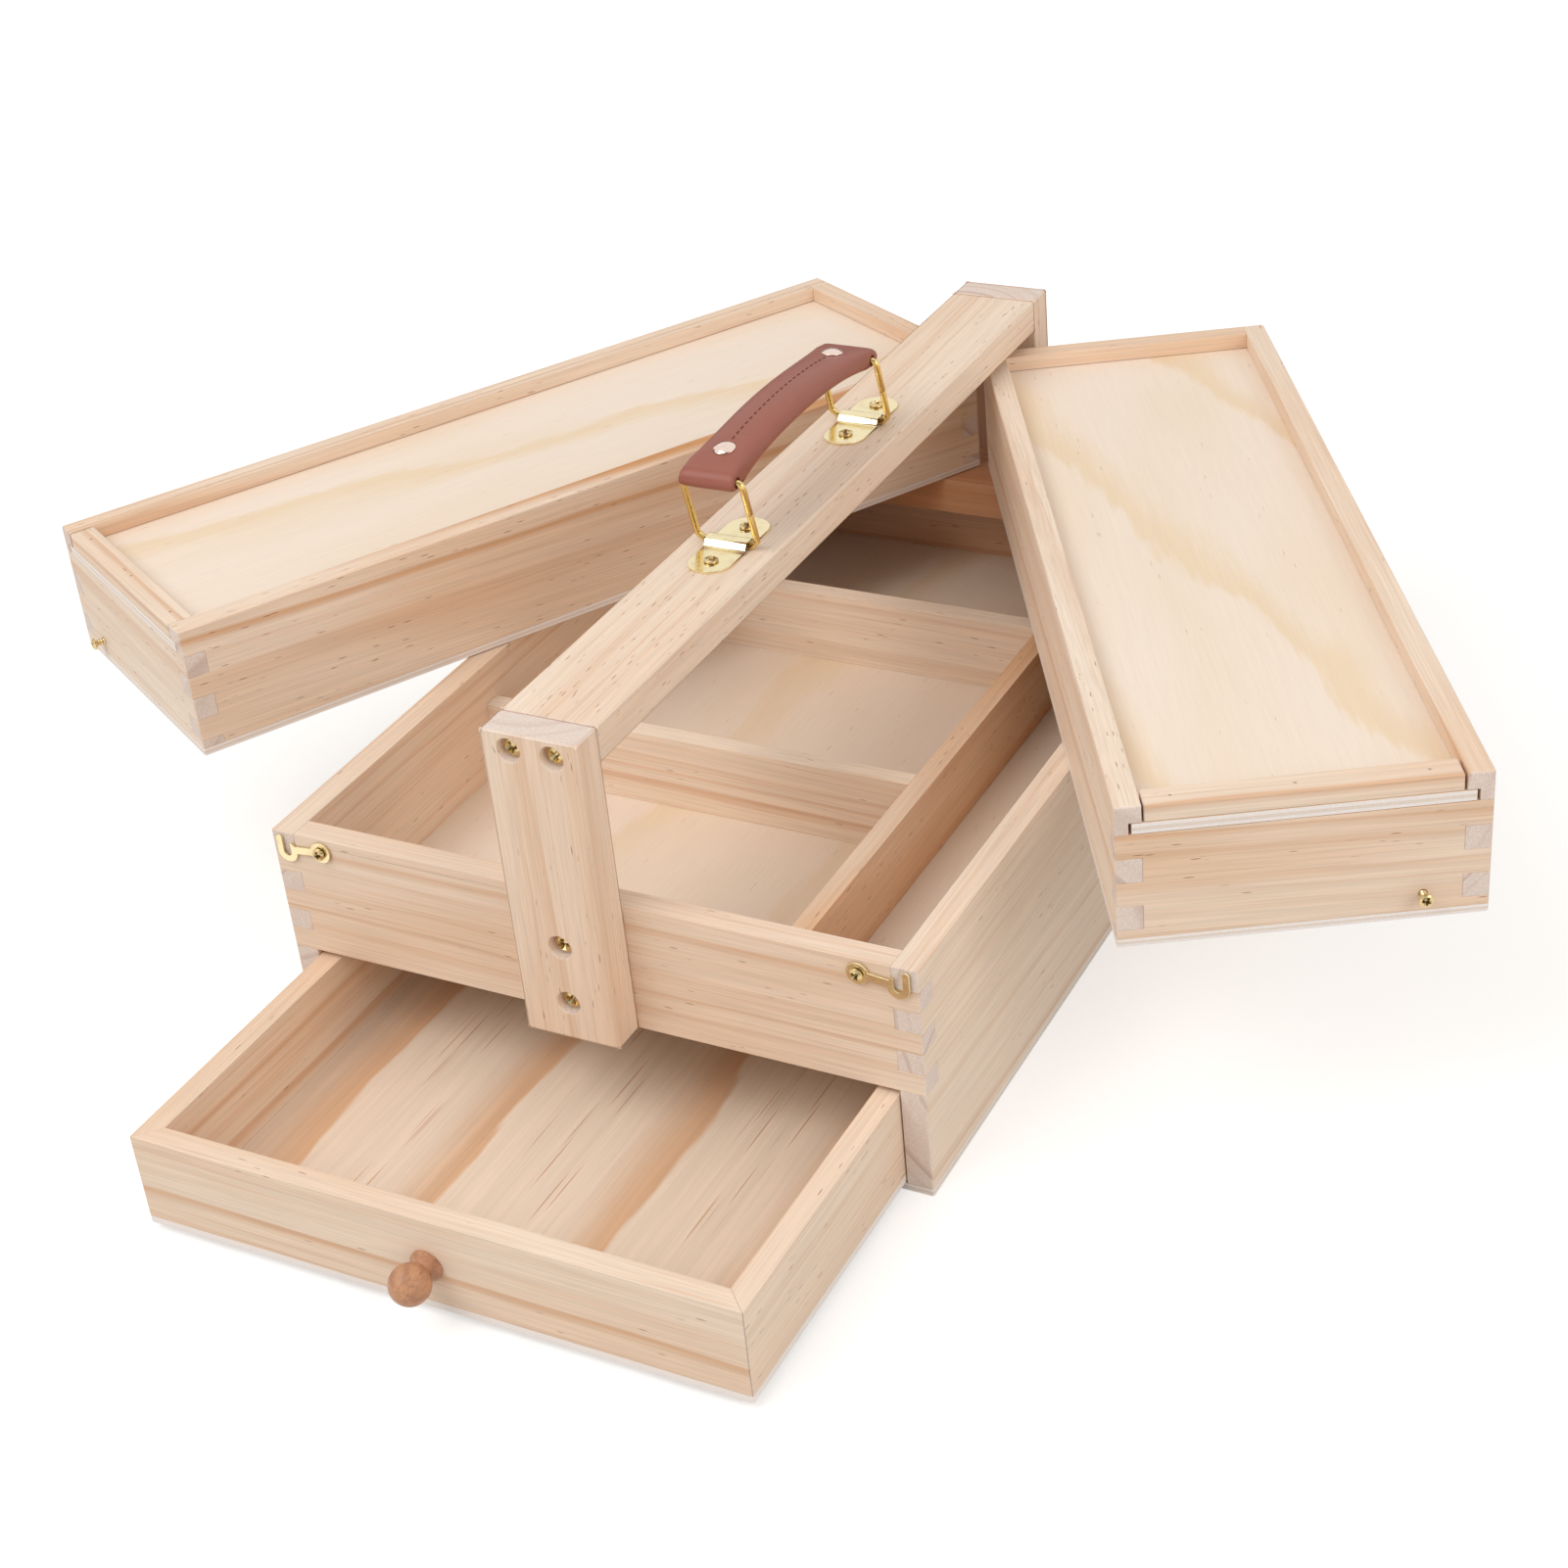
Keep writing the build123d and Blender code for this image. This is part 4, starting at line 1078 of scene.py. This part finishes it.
class ToolBoxGrip(bpy.types.Operator):
    """The padded leather grip, folded round the rings' upper bars, with its row of stitches"""
    bl_idname = "tool_box.grip"
    bl_label = "Leather grip"

    def shape(self, point, half_width):
        """Moves a point of a plain cylinder along Y onto the padded grip."""
        share = point.y
        turn = Vector((point.x, point.z))
        roll = GRIP_END + GRIP_ROLL
        padded = max(0.0, 1 - (abs(share) * GRIP_PADDING) ** 4)
        square = STRAP_ROUNDING + PADDED_ROUNDING * padded
        x, z = (abs(c) ** square * (1 if c > 0 else -1) for c in turn.normalized())
        y = share * (BAR_REACH + roll)
        past = max(0.0, abs(y) - BAR_REACH) / roll
        heights = grip_heights(max(-BAR_REACH, min(BAR_REACH, y)))
        top, low = (height * sqrt(max(0.0, 1 - past * past)) for height in heights)
        groove = GROOVE_DEPTH * max(0.0, 1 - abs(x * half_width) / GROOVE_HALF)
        between = max(0.0, min(1.0, (BAR_REACH - RIVET_INSET - abs(y)) / GROOVE_END))
        height = (top + low) / 2 + z * (top - low) / 2 - (groove * between if z > 0 else 0)
        return Vector((x * half_width * (1 - GRIP_WAIST * padded), y, height))

    def execute(self, context):
        sizes = context.scene.tool_box_sizes
        half_width = (GRIP_BOX[1].x - GRIP_BOX[0].x) / 2 - GRIP_PLAY
        grip = primitive(
            "cylinder", "leather_handle", vertices=64, radius=1, depth=2, rotation=(pi / 2, 0, 0)
        )
        settle(grip)
        edit_all(grip)
        select_edges(grip, lambda a, b: abs(a.y - b.y) > 1)
        bpy.ops.mesh.subdivide(number_cuts=GRIP_CUTS)
        object_mode()
        for vertex in grip.data.vertices:
            share = vertex.co.y
            vertex.co.y = (1 - (1 - abs(share)) ** GRIP_CROWDING) * (1 if share > 0 else -1)
            vertex.co = self.shape(vertex.co, half_width)
        grip.data.transform(Matrix.Translation(BAR_MIDDLE))
        seal(grip)
        for bar, outward in ((FRONT_BAR, -1), (REAR_BAR, 1)):
            cut(grip, primitive(
                "cylinder", vertices=24, radius=sizes.wire / 2 + GRIP_BORE, depth=4 * half_width,
                location=bar, rotation=(0, pi / 2, 0),
            ))
            slit = bar + Vector((0, -outward * FOLD_PLACE[0], FOLD_PLACE[1]))
            cut(grip, box_cutter((4 * half_width, *FOLD), slit))
            for side, _ in SIDES:
                cut(grip, primitive(
                    "cone", vertices=32, radius1=0.62 * GRIP_END, radius2=0.72 * GRIP_END,
                    depth=GRIP_HOLLOW, location=bar + Vector((side * half_width, 0, 0)),
                    rotation=(0, side * pi / 2, 0),
                ))
        finish(grip, grain_leather(), ["leather_grip"], smooth=40)
        self.stitches(sizes)
        return {"FINISHED"}

    def stitches(self, sizes):
        pitch = sizes.stitch + sizes.stitch_gap
        reach = BAR_REACH - RIVET_INSET - STITCH_MARGIN
        count = int(2 * reach / pitch)
        half = sizes.stitch / 2
        radius = sizes.thread / 2
        shape = [(0.3 * radius, -half), (radius, -0.8 * half), (radius, 0.8 * half), (0.3 * radius, half)]
        model = turned("stitch", shape, 8)
        model.data.transform(Matrix.Rotation(pi / 2, 4, "X"))
        sink = Matrix.Translation((0, 0, -STITCH_SINK))
        places = [on_grip((i - (count - 1) / 2) * pitch) @ sink for i in range(count)]
        row = joined("handle_stitches", copies(model, places))
        finish(row, waxed_thread(), body="grip")


class ToolBoxRivets(bpy.types.Operator):
    """The two domed rivets through the grip"""
    bl_idname = "tool_box.rivets"
    bl_label = "Rivets"

    def execute(self, context):
        metal = plated_metal("copper_nickel_plating", "rivet", 0.08, 0.22, "#B58A72")
        reach = BAR_REACH - RIVET_INSET
        top, low = grip_heights(reach)
        under = -(top - low) - 0.75 * MM
        shank = 1.2 * MM
        outline = [(RIVET_DISC, under), (RIVET_DISC, under + 0.5 * MM), (shank, under + 0.7 * MM), (shank, 0)]
        outline += [(RIVET_RIM * 0.97, 0), (RIVET_RIM, 0.12 * MM), (RIVET_RIM, 0.3 * MM)]
        outline += dome(RIVET_RIM * 0.985, 0.42 * MM, RIVET_DOME)
        rivet = turned("rivet", outline, 40)
        rivets = joined("handle_dome_rivets", copies(rivet, [on_grip(-reach), on_grip(reach)]))
        finish(rivets, metal, ["grip_rivets"], smooth=35)
        return {"FINISHED"}


class ToolBoxHooks(bpy.types.Operator):
    """The two flat latch hooks"""
    bl_idname = "tool_box.hooks"
    bl_label = "Hooks"

    def execute(self, context):
        brass = plated_metal("stamped_brass", "brass", 0.18, 0.34, "#C79A52")
        for node in ("left_hook", "right_hook"):
            hook = merged_copy(node, f"{node}_stamped")
            ease_edges(hook, 0.18 * MM, angle=50)
            finish(hook, brass, [node], smooth=40, flats=True)
        return {"FINISHED"}


# Stage

WHITE = (1, 1, 1, 1)
PAPER_GRAIN = 900.0  # specks to the metre
FLOOR_GLOW = 0.52  # what lifts the lit paper to white
FLOOR_FADE = (0.8, 1.7)  # where the floor starts to turn plain white, and where it is
AIM = (0, -0.05, 0.08)  # what the lamps point at
FAR = 20  # how far the camera sees
SENSOR = 36  # the width of the camera's sensor in millimetres
DARK_CARDS = (
    # place, size, turn in degrees
    ((0.5, -0.9, 1.15), (2.4, 0.75, 1), (42, 0, 30)),
    ((-0.55, 1.2, 0.25), (1.3, 0.36, 1), (85, 0, 25)),
    ((0.75, -1.25, 0.3), (1.1, 0.45, 1), (-75, 0, 30)),
    ((-1.3, 0.1, 0.5), (0.5, 1.0, 1), (0, 70, 0)),
)


def seen_rays(tree):
    """1 for the rays that show a thing to the camera, directly, in metal or through glass; else 0."""
    rays = add(tree, "LightPath", output="Is Camera Ray")
    seen = rays.math("MAXIMUM", rays.output("Is Glossy Ray"))
    return seen.math("MAXIMUM", rays.output("Is Transmission Ray"))


def floor_material():
    """Matt white paper: it keeps the object's shadow, and shows white to the camera and in metal."""
    material, tree, _ = new_material("white_paper_floor")
    seen = seen_rays(tree)
    place = object_place(tree)
    paper = add(tree, "TexNoise", {"Vector": place, "Scale": PAPER_GRAIN, "Detail": 2.0}, "Fac")
    matt = add(tree, "BsdfDiffuse", {"Color": paper.between(linear("#CFCDCA"), linear("#D2D0CD"))})
    glow = add(tree, "Emission", {"Color": WHITE, "Strength": seen * FLOOR_GLOW})
    near = add(tree, "AddShader", {0: matt, 1: glow})
    far = place.vector("LENGTH", output="Value").step(*FLOOR_FADE) * seen
    white = add(tree, "Emission", {"Color": WHITE, "Strength": 1.0})
    add(tree, "OutputMaterial", {"Surface": add(tree, "MixShader", {0: far, 1: near, 2: white})})
    return material


def soft_lamp(name, place, size, power):
    clear()
    bpy.ops.object.light_add(type="AREA", location=place)
    lamp = bpy.context.object
    lamp.name = name
    lamp.data.shape = "SQUARE"
    lamp.data.size = size
    lamp.data.energy = power
    lamp.rotation_euler = (Vector(place) - Vector(AIM)).to_track_quat("Z", "Y").to_euler()


class ToolBoxStageSetting(bpy.types.Operator):
    """The floor, the soft lamps, the dark cards that metal mirrors, the white surroundings and the camera"""
    bl_idname = "tool_box.stage"
    bl_label = "Stage"

    def execute(self, context):
        scene = context.scene
        stage = scene.tool_box_stage
        floor = primitive("plane", "paper_floor", size=8)
        floor.data.materials.append(floor_material())
        soft_lamp("key_lamp", (-0.7, -1.3, 1.9), 1.5, stage.key)
        soft_lamp("fill_lamp", (1.8, -0.6, 1.1), 1.2, stage.fill)
        self.cards()
        self.surroundings(scene, stage.sky)
        self.camera(scene, stage)
        scene.view_settings.view_transform = "Standard"
        return {"FINISHED"}

    def cards(self):
        """Dark cards that only polished metal sees, as in a product studio."""
        material, tree, _ = new_material("dark_card")
        add(tree, "OutputMaterial", {"Surface": add(tree, "BsdfDiffuse", {"Color": linear("#2A211A")})})
        for place, size, turn in DARK_CARDS:
            card = primitive(
                "plane", "dark_card", size=1, location=place, rotation=[radians(a) for a in turn]
            )
            card.scale = size
            card.data.materials.append(material)
            for kind in ("camera", "diffuse", "shadow", "transmission"):
                setattr(card, f"visible_{kind}", False)

    def surroundings(self, scene, sky):
        world = bpy.data.worlds.new("white_surroundings")
        scene.world = world
        world.use_nodes = True
        tree = world.node_tree
        tree.nodes.clear()
        strength = seen_rays(tree).step(0.0, 1.0, sky, 1.0)
        add(tree, "OutputWorld", {"Surface": add(tree, "Background", {"Color": WHITE, "Strength": strength})})

    def camera(self, scene, stage):
        """Stands the camera where the photograph was taken from."""
        around, down = stage.azimuth, stage.elevation
        back = Vector((sin(around) * cos(down), -cos(around) * cos(down), sin(down)))
        right = Vector((cos(around), sin(around), 0))
        up = back.cross(right)
        side = right * cos(stage.roll) + up * sin(stage.roll)
        top = up * cos(stage.roll) - right * sin(stage.roll)
        bpy.ops.object.camera_add(location=stage.camera_place)
        camera = bpy.context.object
        camera.rotation_euler = Matrix((side, top, back)).transposed().to_euler()
        camera.data.lens = stage.focal_length
        camera.data.sensor_width = SENSOR
        camera.data.clip_end = FAR
        scene.camera = camera


class ToolBoxPanel(bpy.types.Panel):
    """Lists the steps that build the tool box"""
    bl_idname = "VIEW3D_PT_tool_box"
    bl_label = "Tool box"
    bl_space_type = "VIEW_3D"
    bl_region_type = "UI"
    bl_category = "Tool box"

    def draw(self, context):
        for step_class in STEPS:
            self.layout.operator(step_class.bl_idname)


STEPS = (
    ToolBoxBase, ToolBoxDividers, ToolBoxHandleFrame, ToolBoxSwingBoxes, ToolBoxLids, ToolBoxDrawer,
    ToolBoxKnob, ToolBoxScrews, ToolBoxPivots, ToolBoxRings, ToolBoxPlates, ToolBoxGrip, ToolBoxRivets,
    ToolBoxHooks, ToolBoxStageSetting,
)
GROUPS = {"tool_box_colours": ToolBoxColours, "tool_box_sizes": ToolBoxSizes, "tool_box_stage": ToolBoxStage}


def register():
    for group in GROUPS.values():
        bpy.utils.register_class(group)
    for name, group in GROUPS.items():
        setattr(bpy.types.Scene, name, bpy.props.PointerProperty(type=group))
    for step_class in (*STEPS, ToolBoxPanel):
        bpy.utils.register_class(step_class)


def unregister():
    for step_class in (ToolBoxPanel, *reversed(STEPS)):
        bpy.utils.unregister_class(step_class)
    for name, group in GROUPS.items():
        delattr(bpy.types.Scene, name)
        bpy.utils.unregister_class(group)


def main():
    register()
    for step_class in STEPS:
        family, name = step_class.bl_idname.split(".")
        getattr(getattr(bpy.ops, family), name)()


if __name__ == "__main__":
    main()
